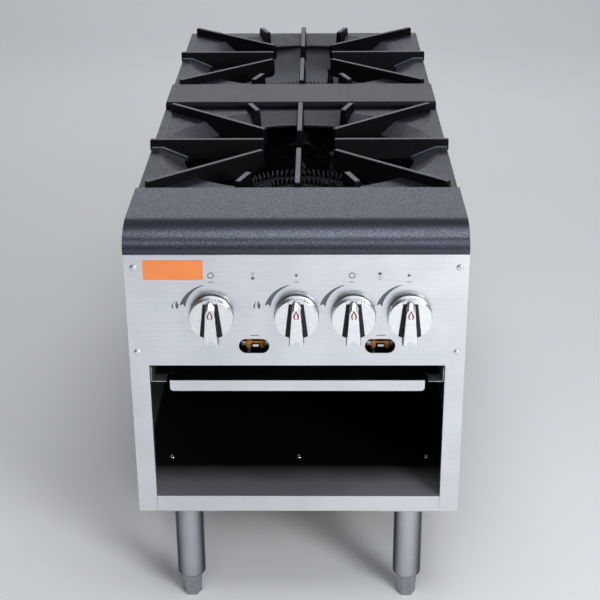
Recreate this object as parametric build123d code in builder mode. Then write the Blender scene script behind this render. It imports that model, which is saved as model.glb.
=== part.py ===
from build123d import *
import math
import os

os.makedirs("parts", exist_ok=True)

# Two-burner stock pot range. Origin: on the floor, in the middle of the whole outline.
# +X is to the right of someone standing at the knobs, +Y to the back, +Z up.

# ---------------------------------------------------------------- driving dimensions, mm
width = 457.2  # outside width, 18 in
body_depth = 1066.8  # nose to back panel, 42 in
height = 609.6  # floor to the top of the grates, 24 in
sheet = 1.2  # stainless body panels
nose_overhang = 21.0  # nose in front of the panel
knob_reach = 31.0  # grip in front of the panel

panel_y = -(body_depth - nose_overhang + knob_reach) / 2 + knob_reach
back_y = panel_y + body_depth - nose_overhang
half = width / 2

# heights
cabinet_z = 160.0  # underside of the cabinet, on 6 in legs
floor_z = 185.0  # top of the cabinet floor
opening_z = 396.8  # top of the storage opening
seat_z = 588.0  # top of the side panels, where the castings lie
plate_z = 596.0  # top of the grate plates
deck_z = 605.6  # top of the deck and of the middle band
nose_z = 571.0  # underside of the nose

# front panel
opening_half = 202.4
fold = 12.0  # returns round the storage opening
side_fold = 16.0
knob_z = 474.5
knob_xs = (-114.3, 0.0, 76.2, 151.4)
window_xs = (-57.2, 113.8)
window_z = 427.3
window_length, window_height = 39.0, 19.0
stem_hole_r = 6.0
screw_hole_r = 2.6
panel_screws = ((-216.5, 543.0), (216.5, 543.0), (-217.5, 417.3), (217.5, 417.3))
screw_r, screw_head_r, screw_head_h, screw_length = 2.4, 4.5, 2.2, 9.0
floor_screw_xs = (-190.5, 0.0, 190.5)
badge_width, badge_height, badge_t, badge_corner = 80.0, 28.4, 0.6, 2.0
badge_x, badge_z = -163.7, 539.6

# deck, middle band and grates, from front to back
deck_back = panel_y + 135.0
grate_depth = 392.0
front_grate_y = panel_y + 336.0
rear_grate_y = back_y - grate_depth / 2
band_front = front_grate_y + grate_depth / 2 + 5.0
band_back = rear_grate_y - grate_depth / 2 - 4.0
casting_t = 2.5
casting_half = half - 2.4  # deck, band and grate plates stop short of the panels' outsides
plate_t = plate_z - seat_z
gap = 0.3  # between bodies that lie on one another

# grate casting
arm_t = 11.0
arm_bottom = 577.6
rim_a, rim_b = 213.0, 188.0  # half axes of the bowl at the plate
hole_a, hole_b = 176.0, 160.0  # half axes of the bowl's opening
bowl_z = 580.0
bowl_wall = 5.0

# burners
ring_top = 514.0
ring_bottom = 490.0
outer_ring, middle_ring, inner_ring = 103.0, 65.5, 33.0
ring_half = 11.0
port_r, port_h = 3.0, 8.0
mouth_y = -240.0  # mouth of the mixing tubes, from the burner's centre
outer_tube_x = 114.3
bell_r, throat_r, tube_r = 36.0, 9.0, 14.5
rest_z = 429.5  # top of the bars that carry a burner

# gas line
manifold_y, manifold_z = panel_y + 40.0, 443.5
manifold_r, manifold_bore = 13.35, 10.4
supply_x = 205.0
supply_socket_r, supply_thread_r, supply_thread = 17.0, 12.2, 20.0
gas_tube_r = 4.75
orifice_r, orifice_length = 7.0, 22.0
spigot_r = 6.0
valve_front, valve_back = panel_y + 14.0, panel_y + 50.0
outlet_r, outlet_length = 8.0, 12.0

# drip tray and rails
rail_z = 370.2  # top of the legs that the tray runs on
rail_in, rail_out = 180.5, 201.5
rail_top, rail_fold = 392.0, 400.0
rail_front, rail_back = panel_y + 4.0, back_y - 60.0
rail_flange_front = panel_y + 18.0
tray_half, tray_flange_half = 175.5, 198.0
tray_bottom, tray_front_top = 356.0, 373.5
tray_front, tray_flange_front, tray_back = panel_y + 2.0, panel_y + 24.0, panel_y + 950.0
tray_t, tray_corner = 1.2, 5.0

# legs and feet
leg_x = 160.0
leg_inset = 26.0
leg_r, leg_wall = 20.65, 1.6
leg_bottom = 38.0
leg_plate, leg_plate_t = 90.0, 2.5
leg_plate_in = 2.0  # edge of the plate, from the front or the back of the body
leg_insert_top = 70.0
leg_bolt_pitch, leg_bolt_r, leg_bolt_head_r = 66.0, 3.9, 6.5
leg_bolt_hole_r = 4.0
foot_r, foot_base_r, foot_neck_z = 15.0, 11.0, 31.0
foot_stud_r, foot_stud_top = 8.0, 100.0
foot_fit = 0.05


def save(piece, name):
    """Labels a finished piece and writes it under its name."""
    piece.label = name
    export_step(piece, f"parts/{name}.step")


def upright(y):
    """The vertical plane across the range at depth y, seen from the front."""
    return Plane.XZ.offset(-y)


def side_on(x):
    """The vertical plane along the range at x, with Y across and Z up."""
    return Plane.YZ.offset(x)


# ---------------------------------------------------------------- sheet metal body
panel_top = seat_z - gap
panel_h = panel_top - cabinet_z

with BuildPart() as front_panel:
    with BuildSketch(upright(panel_y)):
        with Locations((0, cabinet_z + panel_h / 2)):
            Rectangle(width, panel_h)
        with Locations((0, (cabinet_z + opening_z) / 2)):
            Rectangle(2 * opening_half, opening_z - cabinet_z, mode=Mode.SUBTRACT)
        with Locations(*[(x, knob_z) for x in knob_xs]):
            Circle(stem_hole_r, mode=Mode.SUBTRACT)
        with Locations(*[(x, window_z) for x in window_xs]):
            SlotOverall(window_length, window_height, mode=Mode.SUBTRACT)
        with Locations(*panel_screws):
            Circle(screw_hole_r, mode=Mode.SUBTRACT)
    extrude(amount=-sheet)
    # side returns, the folds round the opening and the flange under the deck
    with BuildSketch(Plane.XY.offset(cabinet_z + sheet + gap)):
        for side in (-1, 1):
            with Locations((side * (half - sheet - gap - sheet / 2), panel_y + side_fold / 2)):
                Rectangle(sheet, side_fold)
    extrude(amount=panel_h - 2 * sheet - 2 * gap)
    with BuildSketch(Plane.XY.offset(floor_z + gap)):
        for side in (-1, 1):
            with Locations((side * (opening_half + sheet / 2), panel_y + fold / 2)):
                Rectangle(sheet, fold)
    extrude(amount=opening_z - floor_z)
    with BuildSketch(side_on(-opening_half)):
        with Locations((panel_y + fold / 2, opening_z + sheet / 2)):
            Rectangle(fold, sheet)
    extrude(amount=2 * opening_half)
    with BuildSketch(side_on(-half + 2 * sheet)):
        with Locations((panel_y + side_fold / 2, panel_top - sheet / 2)):
            Rectangle(side_fold, sheet)
    extrude(amount=width - 4 * sheet)
save(front_panel.part, "front_panel")

# Side panels: a web with a flange at the top, where the castings lie, and at the foot.
side_start = panel_y + sheet
side_length = back_y - sheet - side_start
flange = 16.0


def side_panel(side):
    """One side panel, left (-1) or right (1)."""
    with BuildPart() as panel:
        with BuildSketch(upright(side_start)):
            with Locations((side * (half - sheet / 2), (cabinet_z + seat_z) / 2)):
                Rectangle(sheet, seat_z - cabinet_z)
            with Locations((side * (half - flange / 2), seat_z - sheet / 2)):
                Rectangle(flange, sheet)
            with Locations((side * (half - flange / 2), cabinet_z + sheet / 2)):
                Rectangle(flange, sheet)
        extrude(amount=-side_length)
        # the top flange stops short of the front panel's own flange
        with Locations((side * (half - sheet - flange / 2), side_start + side_fold / 2, seat_z)):
            Box(flange, side_fold, 2 * sheet + 2 * gap, mode=Mode.SUBTRACT)
    return panel.part


save(side_panel(-1), "left_side_panel")
save(side_panel(1), "right_side_panel")

# Back: a lower panel and a separate upper one behind the rear burner, with a joint line.
back_joint_z = 535.0
joint = 0.6

with BuildPart() as back_panel:
    with BuildSketch(upright(back_y)):
        with Locations((0, (cabinet_z + back_joint_z) / 2)):
            Rectangle(width, back_joint_z - cabinet_z)
        with Locations((supply_x, manifold_z)):
            Circle(supply_socket_r + gap, mode=Mode.SUBTRACT)
    extrude(amount=sheet)
save(back_panel.part, "back_panel")

upper_back_h = seat_z - gap - back_joint_z - joint
with BuildPart() as upper_back_panel:
    with BuildSketch(upright(back_y)):
        with Locations((0, back_joint_z + joint + upper_back_h / 2)):
            Rectangle(width, upper_back_h)
    extrude(amount=sheet)
    # lap strip behind the joint, and the flange that carries the rear grate
    with BuildSketch(upright(back_y - sheet)):
        with Locations((0, back_joint_z)):
            Rectangle(width - 4 * sheet, 2 * flange)
    extrude(amount=sheet)
save(upper_back_panel.part, "upper_back_panel")

# Base channels: the legs bolt to them, and the floor is screwed to their flanges.
channel_t = 2.0
channel_depth = 96.0
channel_half = half - flange - gap
channel_top = floor_z - sheet
front_channel_y = panel_y + sheet + gap
rear_channel_y = back_y - sheet - gap - channel_depth
leg_places = [
    (side * leg_x, leg_y)
    for leg_y in (panel_y + leg_inset, back_y - leg_inset)
    for side in (-1, 1)
]
plate_ys = (
    panel_y + leg_plate_in + leg_plate / 2,
    back_y - leg_plate_in - leg_plate / 2,
)
flange_ys = (front_channel_y + channel_depth, rear_channel_y - flange)
floor_screw_ys = [y + flange / 2 for y in flange_ys]


def bolt_places(x, y):
    """The four bolt centres of one leg's plate."""
    pitch = leg_bolt_pitch / 2
    return [(x + i * pitch, y + j * pitch) for i in (-1, 1) for j in (-1, 1)]


def base_channel(start_y, flange_y, plate_y):
    """A channel across the cabinet, open at the top, with a flange under the floor."""
    with BuildPart() as channel:
        with BuildSketch(side_on(-channel_half)):
            with Locations((start_y + channel_depth / 2, cabinet_z + channel_t / 2)):
                Rectangle(channel_depth, channel_t)
            for y in (start_y + channel_t / 2, start_y + channel_depth - channel_t / 2):
                with Locations((y, (cabinet_z + channel_top) / 2)):
                    Rectangle(channel_t, channel_top - cabinet_z)
            with Locations((flange_y + flange / 2, channel_top - channel_t / 2)):
                Rectangle(flange + 2 * channel_t, channel_t)
        extrude(amount=2 * channel_half)
        with Locations(*[(x, flange_y + flange / 2, channel_top) for x in floor_screw_xs]):
            Cylinder(screw_hole_r, 3 * channel_t, mode=Mode.SUBTRACT)
        for x in (-leg_x, leg_x):
            with Locations(*[(i, j, cabinet_z) for i, j in bolt_places(x, plate_y)]):
                Cylinder(leg_bolt_hole_r, 3 * channel_t, mode=Mode.SUBTRACT)
    return channel.part


save(base_channel(front_channel_y, flange_ys[0], plate_ys[0]), "front_base_channel")
save(base_channel(rear_channel_y, flange_ys[1], plate_ys[1]), "rear_base_channel")

# Cabinet floor: its lip closes the opening's foot, flush with the front panel.
floor_half = half - sheet - gap
lip_half = opening_half - gap
with BuildPart() as cabinet_floor:
    with BuildSketch(side_on(-lip_half)):
        with Locations((panel_y + sheet / 2, (cabinet_z + floor_z) / 2)):
            Rectangle(sheet, floor_z - cabinet_z)
        with Locations((panel_y + side_fold / 2 + gap, floor_z - sheet / 2)):
            Rectangle(side_fold + 2 * gap, sheet)
    extrude(amount=2 * lip_half)
    floor_start = panel_y + side_fold + gap
    with BuildSketch(Plane.XY.offset(floor_z)):
        with Locations((0, (floor_start + back_y - sheet) / 2)):
            Rectangle(2 * floor_half, back_y - sheet - gap - floor_start)
        with Locations(*[(x, y) for x in floor_screw_xs for y in floor_screw_ys]):
            Circle(screw_hole_r, mode=Mode.SUBTRACT)
    extrude(amount=-sheet)
save(cabinet_floor.part, "cabinet_floor")

# Partition between the two burner boxes, under the middle band.
partition_y = panel_y + 595.0
partition_bottom = 400.0
arch_r, arch_z = 44.0, 491.0
pipe_hole = 1.5  # room round the pipes that pass through

with BuildPart() as middle_partition:
    with BuildSketch(upright(partition_y)):
        with Locations((0, (partition_bottom + seat_z) / 2)):
            Rectangle(2 * (half - sheet - gap), seat_z - partition_bottom - 2 * sheet)
        with Locations((0, arch_z)):
            Circle(arch_r, mode=Mode.SUBTRACT)
        # the arch has a flat sill
        with Locations((0, arch_z - arch_r / 2)):
            Rectangle(2 * arch_r + 2, arch_r)
        with Locations((supply_x, manifold_z)):
            Circle(manifold_r + pipe_hole, mode=Mode.SUBTRACT)
        with Locations((0, knob_z), (outer_tube_x, knob_z)):
            Circle(orifice_r + pipe_hole, mode=Mode.SUBTRACT)
    extrude(amount=-sheet)
    with BuildSketch(side_on(-half + 3 * sheet + flange)):
        with Locations((partition_y + flange / 2, partition_bottom + sheet)):
            Rectangle(flange, sheet)
    extrude(amount=width - 6 * sheet - 2 * flange)
save(middle_partition.part, "middle_partition")

# ---------------------------------------------------------------- deck, middle band, grates
crown_start = panel_y + 24.0
crown_r, crown_turn = 60.0, 35.0


def nose_point():
    """Where the crown's large arc ends and the nose's small arc starts."""
    turn = math.radians(crown_turn)
    return (
        crown_start - crown_r * math.sin(turn),
        deck_z - crown_r * (1 - math.cos(turn)),
    )


nose_front = panel_y - nose_overhang
crown_end = nose_point()
nose_r = (crown_end[0] - nose_front) / (1 - math.sin(math.radians(crown_turn)))
nose_low = crown_end[1] - nose_r * math.cos(math.radians(crown_turn))


def deck_outline(inset, foot_z):
    """Draws the deck's side outline, moved in by inset, with its rear foot at foot_z."""
    top, back = deck_z - inset, deck_back - inset
    front, inner = nose_front + inset, panel_y - gap - inset
    Polyline((crown_start, top), (back, top), (back, foot_z), (inner, foot_z))
    Polyline((inner, foot_z), (inner, nose_z + inset), (front, nose_z + inset), (front, nose_low))
    CenterArc((nose_front + nose_r, nose_low), nose_r - inset, 180, crown_turn - 90)
    CenterArc((crown_start, deck_z - crown_r), crown_r - inset, 90 + crown_turn, -crown_turn)


with BuildPart() as front_deck:
    with BuildSketch(side_on(-casting_half)):
        with BuildLine():
            deck_outline(0, seat_z)
        make_face()
    extrude(amount=2 * casting_half)
    with BuildSketch(side_on(-casting_half + casting_t)):
        with BuildLine():
            deck_outline(casting_t, seat_z - casting_t)
        make_face()
    extrude(amount=2 * (casting_half - casting_t), mode=Mode.SUBTRACT)
save(front_deck.part, "front_deck")

band_r = deck_z - seat_z - 2.0
with BuildPart() as middle_band:
    with BuildSketch(side_on(-casting_half)):
        with BuildLine():
            Polyline((band_front + band_r, deck_z), (band_back, deck_z), (band_back, seat_z))
            Polyline((band_back, seat_z), (band_front, seat_z), (band_front, deck_z - band_r))
            CenterArc((band_front + band_r, deck_z - band_r), band_r, 180, -90)
        make_face()
    extrude(amount=2 * casting_half)
    band_underside = middle_band.faces().sort_by(Axis.Z)[0]
    offset(amount=-casting_t, openings=band_underside)
save(middle_band.part, "middle_band")

# Arms of one quarter of a grate: outer end, inner end (from the grate's centre). The side
# arms reach past the plate, to the outsides of the panels.
side_arm = ((half, 0.0), (54.0, 0.0))
centre_arm = ((0.0, 192.0), (0.0, 41.0))
corner_arm = ((213.0, 187.0), (54.0, 49.5))
stub_arm = ((84.5, 187.0), (69.5, 147.0))
foot_rib_t, foot_rib_z, foot_rib_in = 20.0, 600.0, 170.0


def along(direction, a, b):
    """Distance from the centre to the ellipse with half axes a and b, along a direction."""
    return 1 / math.hypot(direction[0] / a, direction[1] / b)


def arm(outer, inner, centre_y):
    """One upright arm: level on top, its foot following the plate and the bowl."""
    run = math.dist(outer, inner)
    direction = ((outer[0] - inner[0]) / run, (outer[1] - inner[1]) / run)
    # the run is measured from the inner end; the bowl's edges are at these distances
    start = inner[0] * direction[0] + inner[1] * direction[1]
    rim = along(direction, rim_a, rim_b) - start
    hole = along(direction, hole_a, hole_b) - start
    low_end = max(hole, 1.0)
    rim_end = min(rim, run)
    below = plate_z - plate_t / 2
    plane = Plane(
        origin=(inner[0], centre_y + inner[1], 0),
        x_dir=(direction[0], direction[1], 0),
        z_dir=(direction[1], -direction[0], 0),
    )
    with BuildPart() as web:
        with BuildSketch(plane):
            with BuildLine():
                Polyline(
                    (0, arm_bottom),
                    (low_end, arm_bottom),
                    (rim_end, below),
                    (run, below),
                    (run, height),
                    (0, height),
                    close=True,
                )
            make_face()
        extrude(amount=arm_t / 2, both=True)
    return web.part


def grate(centre_y):
    """A grate casting: plate, bowl, and twelve arms in four like quarters."""
    webs = []
    for outer, inner in (side_arm, centre_arm, corner_arm, stub_arm):
        for sx in (-1, 1):
            for sy in (-1, 1):
                doubled = (outer[0] == 0 and sx < 0) or (outer[1] == 0 and sy < 0)
                if not doubled:
                    webs.append(
                        arm(
                            (sx * outer[0], sy * outer[1]),
                            (sx * inner[0], sy * inner[1]),
                            centre_y,
                        )
                    )
    with BuildPart() as casting:
        with BuildSketch(Plane.XY.offset(seat_z + gap)):
            with Locations((0, centre_y)):
                Rectangle(2 * casting_half, grate_depth)
        extrude(amount=plate_t - gap)
        # outside of the bowl
        with BuildSketch(Plane.XY.offset(bowl_z - bowl_wall)):
            with Locations((0, centre_y)):
                Ellipse(hole_a + bowl_wall, hole_b + bowl_wall)
        with BuildSketch(Plane.XY.offset(seat_z + 1)):
            with Locations((0, centre_y)):
                Ellipse(rim_a - bowl_wall, rim_b - bowl_wall)
        loft()
        # foot ribs under the two side arms
        for side in (-1, 1):
            with BuildSketch(upright(centre_y - foot_rib_t / 2)):
                with BuildLine():
                    Polyline(
                        (side * casting_half, foot_rib_z),
                        (side * (rim_a - 5), foot_rib_z),
                        (side * foot_rib_in, bowl_z + foot_rib_z - plate_z),
                        (side * foot_rib_in, bowl_z - bowl_wall),
                        (side * (rim_a - bowl_wall), seat_z + 1),
                        (side * casting_half, seat_z + 1),
                        close=True,
                    )
                make_face()
            extrude(amount=-foot_rib_t)
        # inside of the bowl and its opening, then the ribs' feet are given back
        with BuildSketch(Plane.XY.offset(bowl_z)):
            with Locations((0, centre_y)):
                Ellipse(hole_a, hole_b)
        with BuildSketch(Plane.XY.offset(plate_z)):
            with Locations((0, centre_y)):
                Ellipse(rim_a, rim_b)
        loft(mode=Mode.SUBTRACT)
        with BuildSketch(Plane.XY.offset(bowl_z + 0.01)):
            with Locations((0, centre_y)):
                Ellipse(hole_a, hole_b)
        extrude(amount=-4 * bowl_wall, mode=Mode.SUBTRACT)
        for side in (-1, 1):
            with BuildSketch(upright(centre_y - foot_rib_t / 2)):
                with BuildLine():
                    Polyline(
                        (side * casting_half, foot_rib_z),
                        (side * (rim_a - 5), foot_rib_z),
                        (side * foot_rib_in, bowl_z + foot_rib_z - plate_z),
                        (side * (foot_rib_in + 4), bowl_z),
                        (side * rim_a, plate_z - 1),
                        (side * casting_half, plate_z - 1),
                        close=True,
                    )
                make_face()
            extrude(amount=-foot_rib_t)
        for web in webs:
            add(web)
    return casting.part


save(grate(front_grate_y), "front_grate")
save(grate(rear_grate_y), "rear_grate")

# ---------------------------------------------------------------- burners
bar_offset = 85.0  # rest bars, from the burner's centre
bar_width, bar_t, bar_tab = 25.0, 5.0, 22.0
outer_ports, middle_ports, inner_ports = 44, 28, 14
post = 12.0
post_x = math.sqrt(outer_ring**2 - bar_offset**2)
shutter_t = 1.5


def ring(radius, centre_y):
    """A burner ring with a rounded crown, round the burner's centre."""
    with BuildPart() as body:
        with BuildSketch(side_on(0)):
            with Locations((centre_y + radius, (ring_top + ring_bottom) / 2)):
                RectangleRounded(2 * ring_half, ring_top - ring_bottom, 5)
        revolve(axis=Axis((0, centre_y, 0), (0, 0, 1)))
    return body.part


def port_row(radius, count, centre_y):
    """Upright ports on top of a ring."""
    with BuildPart() as row:
        with Locations((0, centre_y, ring_top - 1)):
            with PolarLocations(radius, count, start_angle=180 / count):
                Cylinder(port_r, port_h + 1, align=(Align.CENTER, Align.CENTER, Align.MIN))
    return row.part


def mixing_tube(x, centre_y):
    """A mixing tube along the range at x, from its bell back to the burner's centre line."""
    mouth = centre_y + mouth_y
    with BuildPart() as tube:
        with BuildSketch(side_on(x)):
            with BuildLine():
                Polyline(
                    (mouth, knob_z),
                    (mouth, knob_z + bell_r),
                    (mouth + 5, knob_z + bell_r),
                    (mouth + 45, knob_z + throat_r + 3),
                    (centre_y - 60, knob_z + tube_r),
                    (centre_y + tube_r, knob_z + tube_r),
                    (centre_y + tube_r, knob_z),
                    close=True,
                )
            make_face()
        revolve(axis=Axis((x, centre_y, knob_z), (0, 1, 0)))
        with BuildSketch(side_on(x)):
            with BuildLine():
                Polyline(
                    (mouth - 1, knob_z),
                    (mouth - 1, knob_z + bell_r - 3),
                    (mouth + 5, knob_z + bell_r - 3),
                    (mouth + 45, knob_z + throat_r),
                    (centre_y - 40, knob_z + throat_r),
                    (centre_y - 40, knob_z),
                    close=True,
                )
            make_face()
        revolve(axis=Axis((x, centre_y, knob_z), (0, 1, 0)), mode=Mode.SUBTRACT)
    return tube.part


def outer_burner(centre_y, side):
    """Outer burner casting: two ported rings, bridges, posts and a mixing tube at one side."""
    with BuildPart() as casting:
        add(ring(outer_ring, centre_y))
        add(ring(middle_ring, centre_y))
        with Locations((0, centre_y, (ring_top + ring_bottom) / 2 - 2)):
            with PolarLocations((outer_ring + middle_ring) / 2, 4, start_angle=45):
                Box(outer_ring - middle_ring, 18, 14)
        with Locations((0, centre_y, rest_z)):
            with GridLocations(2 * post_x, 2 * bar_offset, 2, 2):
                Box(
                    post,
                    post,
                    ring_bottom + 8 - rest_z,
                    align=(Align.CENTER, Align.CENTER, Align.MIN),
                )
        add(mixing_tube(side * outer_tube_x, centre_y))
        # box that leads the gas from the tube up into the ring
        with Locations((side * (outer_ring + 4), centre_y - 4, knob_z)):
            Box(24, 34, ring_bottom + 12 - knob_z, align=(Align.CENTER, Align.CENTER, Align.MIN))
        add(port_row(outer_ring, outer_ports, centre_y))
        add(port_row(middle_ring, middle_ports, centre_y))
    return casting.part


def inner_burner(centre_y):
    """Inner burner casting: a ported ring on a cross over its mixing tube."""
    with BuildPart() as casting:
        add(ring(inner_ring, centre_y))
        with Locations((0, centre_y, ring_bottom + 8)):
            Box(2 * inner_ring, post, 12)
            Box(post, 2 * inner_ring, 12)
        add(mixing_tube(0, centre_y))
        with Locations((0, centre_y, knob_z)):
            Cylinder(
                tube_r, ring_bottom + 10 - knob_z, align=(Align.CENTER, Align.CENTER, Align.MIN)
            )
        add(port_row(inner_ring, inner_ports, centre_y))
    return casting.part


def rest_bars(centre_y):
    """Two flat bars across the body that carry a burner, with tabs up the side panels."""
    bar_half = half - sheet - gap
    with BuildPart() as bars:
        for y in (centre_y - bar_offset, centre_y + bar_offset):
            with Locations((0, y, rest_z - bar_t / 2)):
                Box(2 * bar_half, bar_width, bar_t)
            for side in (-1, 1):
                with Locations((side * (bar_half - bar_t / 2), y, rest_z + bar_tab / 2)):
                    Box(bar_t, bar_width, bar_tab)
    return bars.part


def air_shutters(centre_y, side):
    """Two round air shutters over the mixing tubes' mouths, with air openings."""
    with BuildPart() as shutters:
        for x in (0, side * outer_tube_x):
            with BuildSketch(upright(centre_y + mouth_y)):
                with Locations((x, knob_z)):
                    Circle(bell_r)
                    Circle(orifice_r + 0.5, mode=Mode.SUBTRACT)
                    with PolarLocations(bell_r * 0.6, 3, start_angle=30):
                        Circle(bell_r * 0.24, mode=Mode.SUBTRACT)
            extrude(amount=shutter_t)
    return shutters.part


for place, centre, side in (("front", front_grate_y, -1), ("rear", rear_grate_y, 1)):
    save(outer_burner(centre, side), f"{place}_outer_burner")
    save(inner_burner(centre), f"{place}_inner_burner")
    save(rest_bars(centre), f"{place}_burner_rests")
    save(air_shutters(centre, side), f"{place}_air_shutters")

# ---------------------------------------------------------------- gas line
manifold_half = 192.0
elbow = 30.0
stem_r, stem_fit = 4.0, 0.05
socket_length = 36.0
nipple_z, nipple_r = manifold_z - 6.0, 2.5

with BuildPart() as manifold_pipe:
    with BuildSketch(side_on(-manifold_half)):
        with Locations((manifold_y, manifold_z)):
            Circle(manifold_r)
    extrude(amount=manifold_half + supply_x)
    with Locations((supply_x, manifold_y, manifold_z)):
        Sphere(manifold_r)
    with BuildSketch(upright(manifold_y)):
        with Locations((supply_x, manifold_z)):
            Circle(manifold_r)
    extrude(amount=-elbow)
    with BuildSketch(side_on(-manifold_half + 6)):
        with Locations((manifold_y, manifold_z)):
            Circle(manifold_bore)
    extrude(amount=manifold_half + supply_x - 6, mode=Mode.SUBTRACT)
    with BuildSketch(upright(manifold_y)):
        with Locations((supply_x, manifold_z)):
            Circle(manifold_bore)
    extrude(amount=-elbow, mode=Mode.SUBTRACT)
    # a seat on top for each valve's spigot
    with Locations(*[(x, manifold_y, manifold_z) for x in knob_xs]):
        Cylinder(
            spigot_r + stem_fit,
            manifold_r + 1,
            align=(Align.CENTER, Align.CENTER, Align.MIN),
            mode=Mode.SUBTRACT,
        )
    # and one in front for each pilot valve's nipple
    with BuildSketch(upright(manifold_y - manifold_r - 1)):
        with Locations(*[(x, nipple_z) for x in window_xs]):
            Circle(nipple_r + stem_fit)
    extrude(amount=-manifold_r, mode=Mode.SUBTRACT)
save(manifold_pipe.part, "manifold_pipe")

# Supply pipe: from the manifold's elbow along the right side to a socket at the back.
supply_start = manifold_y + elbow + 0.2
with BuildPart() as supply_pipe:
    with BuildSketch(upright(supply_start)):
        with Locations((supply_x, manifold_z)):
            Circle(manifold_r)
    extrude(amount=-(back_y - supply_start))
    with BuildSketch(upright(back_y - socket_length)):
        with Locations((supply_x, manifold_z)):
            Circle(supply_socket_r)
    extrude(amount=-socket_length)
    with BuildSketch(upright(supply_start)):
        with Locations((supply_x, manifold_z)):
            Circle(manifold_bore)
    extrude(amount=-(back_y - supply_start), mode=Mode.SUBTRACT)
    with BuildSketch(upright(back_y)):
        with Locations((supply_x, manifold_z)):
            Circle(supply_thread_r)
    extrude(amount=supply_thread, mode=Mode.SUBTRACT)
save(supply_pipe.part, "supply_pipe")


def gas_valve(x):
    """A gas valve: hexagonal body, nose, outlet at the back and spigot into the manifold."""
    with BuildPart() as valve:
        with BuildSketch(upright(valve_front)):
            with Locations((x, knob_z)):
                Circle(10)
        extrude(amount=-8)
        with BuildSketch(upright(valve_front + 8)):
            with Locations((x, knob_z)):
                RegularPolygon(14, 6)
        extrude(amount=-(valve_back - valve_front - 8))
        with BuildSketch(upright(valve_back)):
            with Locations((x, knob_z)):
                Circle(outlet_r)
        extrude(amount=-outlet_length)
        with Locations((x, manifold_y, manifold_z + manifold_r - 2.5)):
            Cylinder(spigot_r, 10, align=(Align.CENTER, Align.CENTER, Align.MIN))
        with Locations((x, manifold_y, manifold_z + manifold_r + gap)):
            Cylinder(spigot_r + 4, 10, align=(Align.CENTER, Align.CENTER, Align.MIN))
        with BuildSketch(upright(valve_front)):
            with Locations((x, knob_z)):
                Circle(stem_r + stem_fit)
        extrude(amount=-18, mode=Mode.SUBTRACT)
    return valve.part


# Knobs: a round skirt with a flat face, and a grip that widens to a forked tail.
knob_r, knob_base_r = 29.4, 30.2
knob_gap = 1.5  # between the skirt and the panel
knob_face = 18.5  # face in front of the panel
knob_socket, stem_flat = 13.0, 1.0
grip_top, grip_tail, grip_notch = 27.5, 34.0, 28.5
grip_top_half, grip_tail_half = 6.5, 10.4
slot_top_half, slot_tail_half = 9.8, 15.4
slot_top, slot_tail, slot_deep = 23.0, 25.5, 6.0


def valve_stem(x):
    """The turning stem, from inside the valve through the panel into the knob."""
    start = panel_y - knob_gap - knob_socket + 0.5
    with BuildPart() as stem:
        with BuildSketch(upright(start)):
            with Locations((x, knob_z)):
                Circle(stem_r)
        extrude(amount=-(valve_front + 17 - start))
        # the flat that keys the knob
        with Locations((x, start + knob_socket / 2 - 0.5, knob_z + 2 * stem_r - stem_flat)):
            Box(2 * stem_r, knob_socket - 1, 2 * stem_r, mode=Mode.SUBTRACT)
    return stem.part


def outline(*points):
    """A flat face through the given points."""
    with BuildSketch() as face:
        with BuildLine():
            Polyline(*points, close=True)
        make_face()
    return face.sketch


def knob(x):
    """A knob, pointing up at rest."""
    slot = outline(
        (-slot_top_half, slot_top),
        (slot_top_half, slot_top),
        (slot_tail_half, -slot_tail),
        (-slot_tail_half, -slot_tail),
    )
    grip = outline(
        (-grip_top_half, grip_top - 5),
        (-grip_top_half + 3, grip_top),
        (grip_top_half - 3, grip_top),
        (grip_top_half, grip_top - 5),
        (grip_tail_half, -grip_tail),
        (0, -grip_notch),
        (-grip_tail_half, -grip_tail),
    )
    with BuildPart() as body:
        with BuildSketch(upright(panel_y - knob_gap)):
            with Locations((x, knob_z)):
                Circle(knob_base_r)
        with BuildSketch(upright(panel_y - knob_face)):
            with Locations((x, knob_z)):
                Circle(knob_r)
        loft()
        chamfer(body.edges().filter_by(GeomType.CIRCLE).sort_by(Axis.Y)[0], 1.0)
        # dark slots on both sides of the grip
        with BuildSketch(upright(panel_y - knob_face)):
            with Locations((x, knob_z)):
                add(slot)
        extrude(amount=-slot_deep, mode=Mode.SUBTRACT)
        with BuildSketch(upright(panel_y - knob_reach)):
            with Locations((x, knob_z)):
                add(grip)
        extrude(amount=-(knob_reach - knob_face + slot_deep + 0.5))
        # the grip's upper end slopes back to the face
        with BuildSketch(side_on(x - 2 * grip_top_half)):
            with BuildLine():
                Polyline(
                    (panel_y - knob_reach - 1, knob_z + 16),
                    (panel_y - knob_reach - 1, knob_z + 30),
                    (panel_y - knob_face - 2, knob_z + 30),
                    close=True,
                )
            make_face()
        extrude(amount=4 * grip_top_half, mode=Mode.SUBTRACT)
        with BuildSketch(upright(panel_y - knob_gap - knob_socket)):
            with Locations((x, knob_z)):
                Circle(stem_r + stem_fit)
        extrude(amount=-knob_socket, mode=Mode.SUBTRACT)
    return body.part


for number, x in enumerate(knob_xs, 1):
    save(gas_valve(x), f"gas_valve_{number}")
    save(valve_stem(x), f"valve_stem_{number}")
    save(knob(x), f"knob_{number}")

# Rear gas tubes: from valves 3 and 4, under the front burner, to the rear burner.
tube_start = valve_back + outlet_length
tube_end = rear_grate_y + mouth_y - 27.0
jog_y = panel_y + 470.0
tube_bend = 30.0


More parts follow.
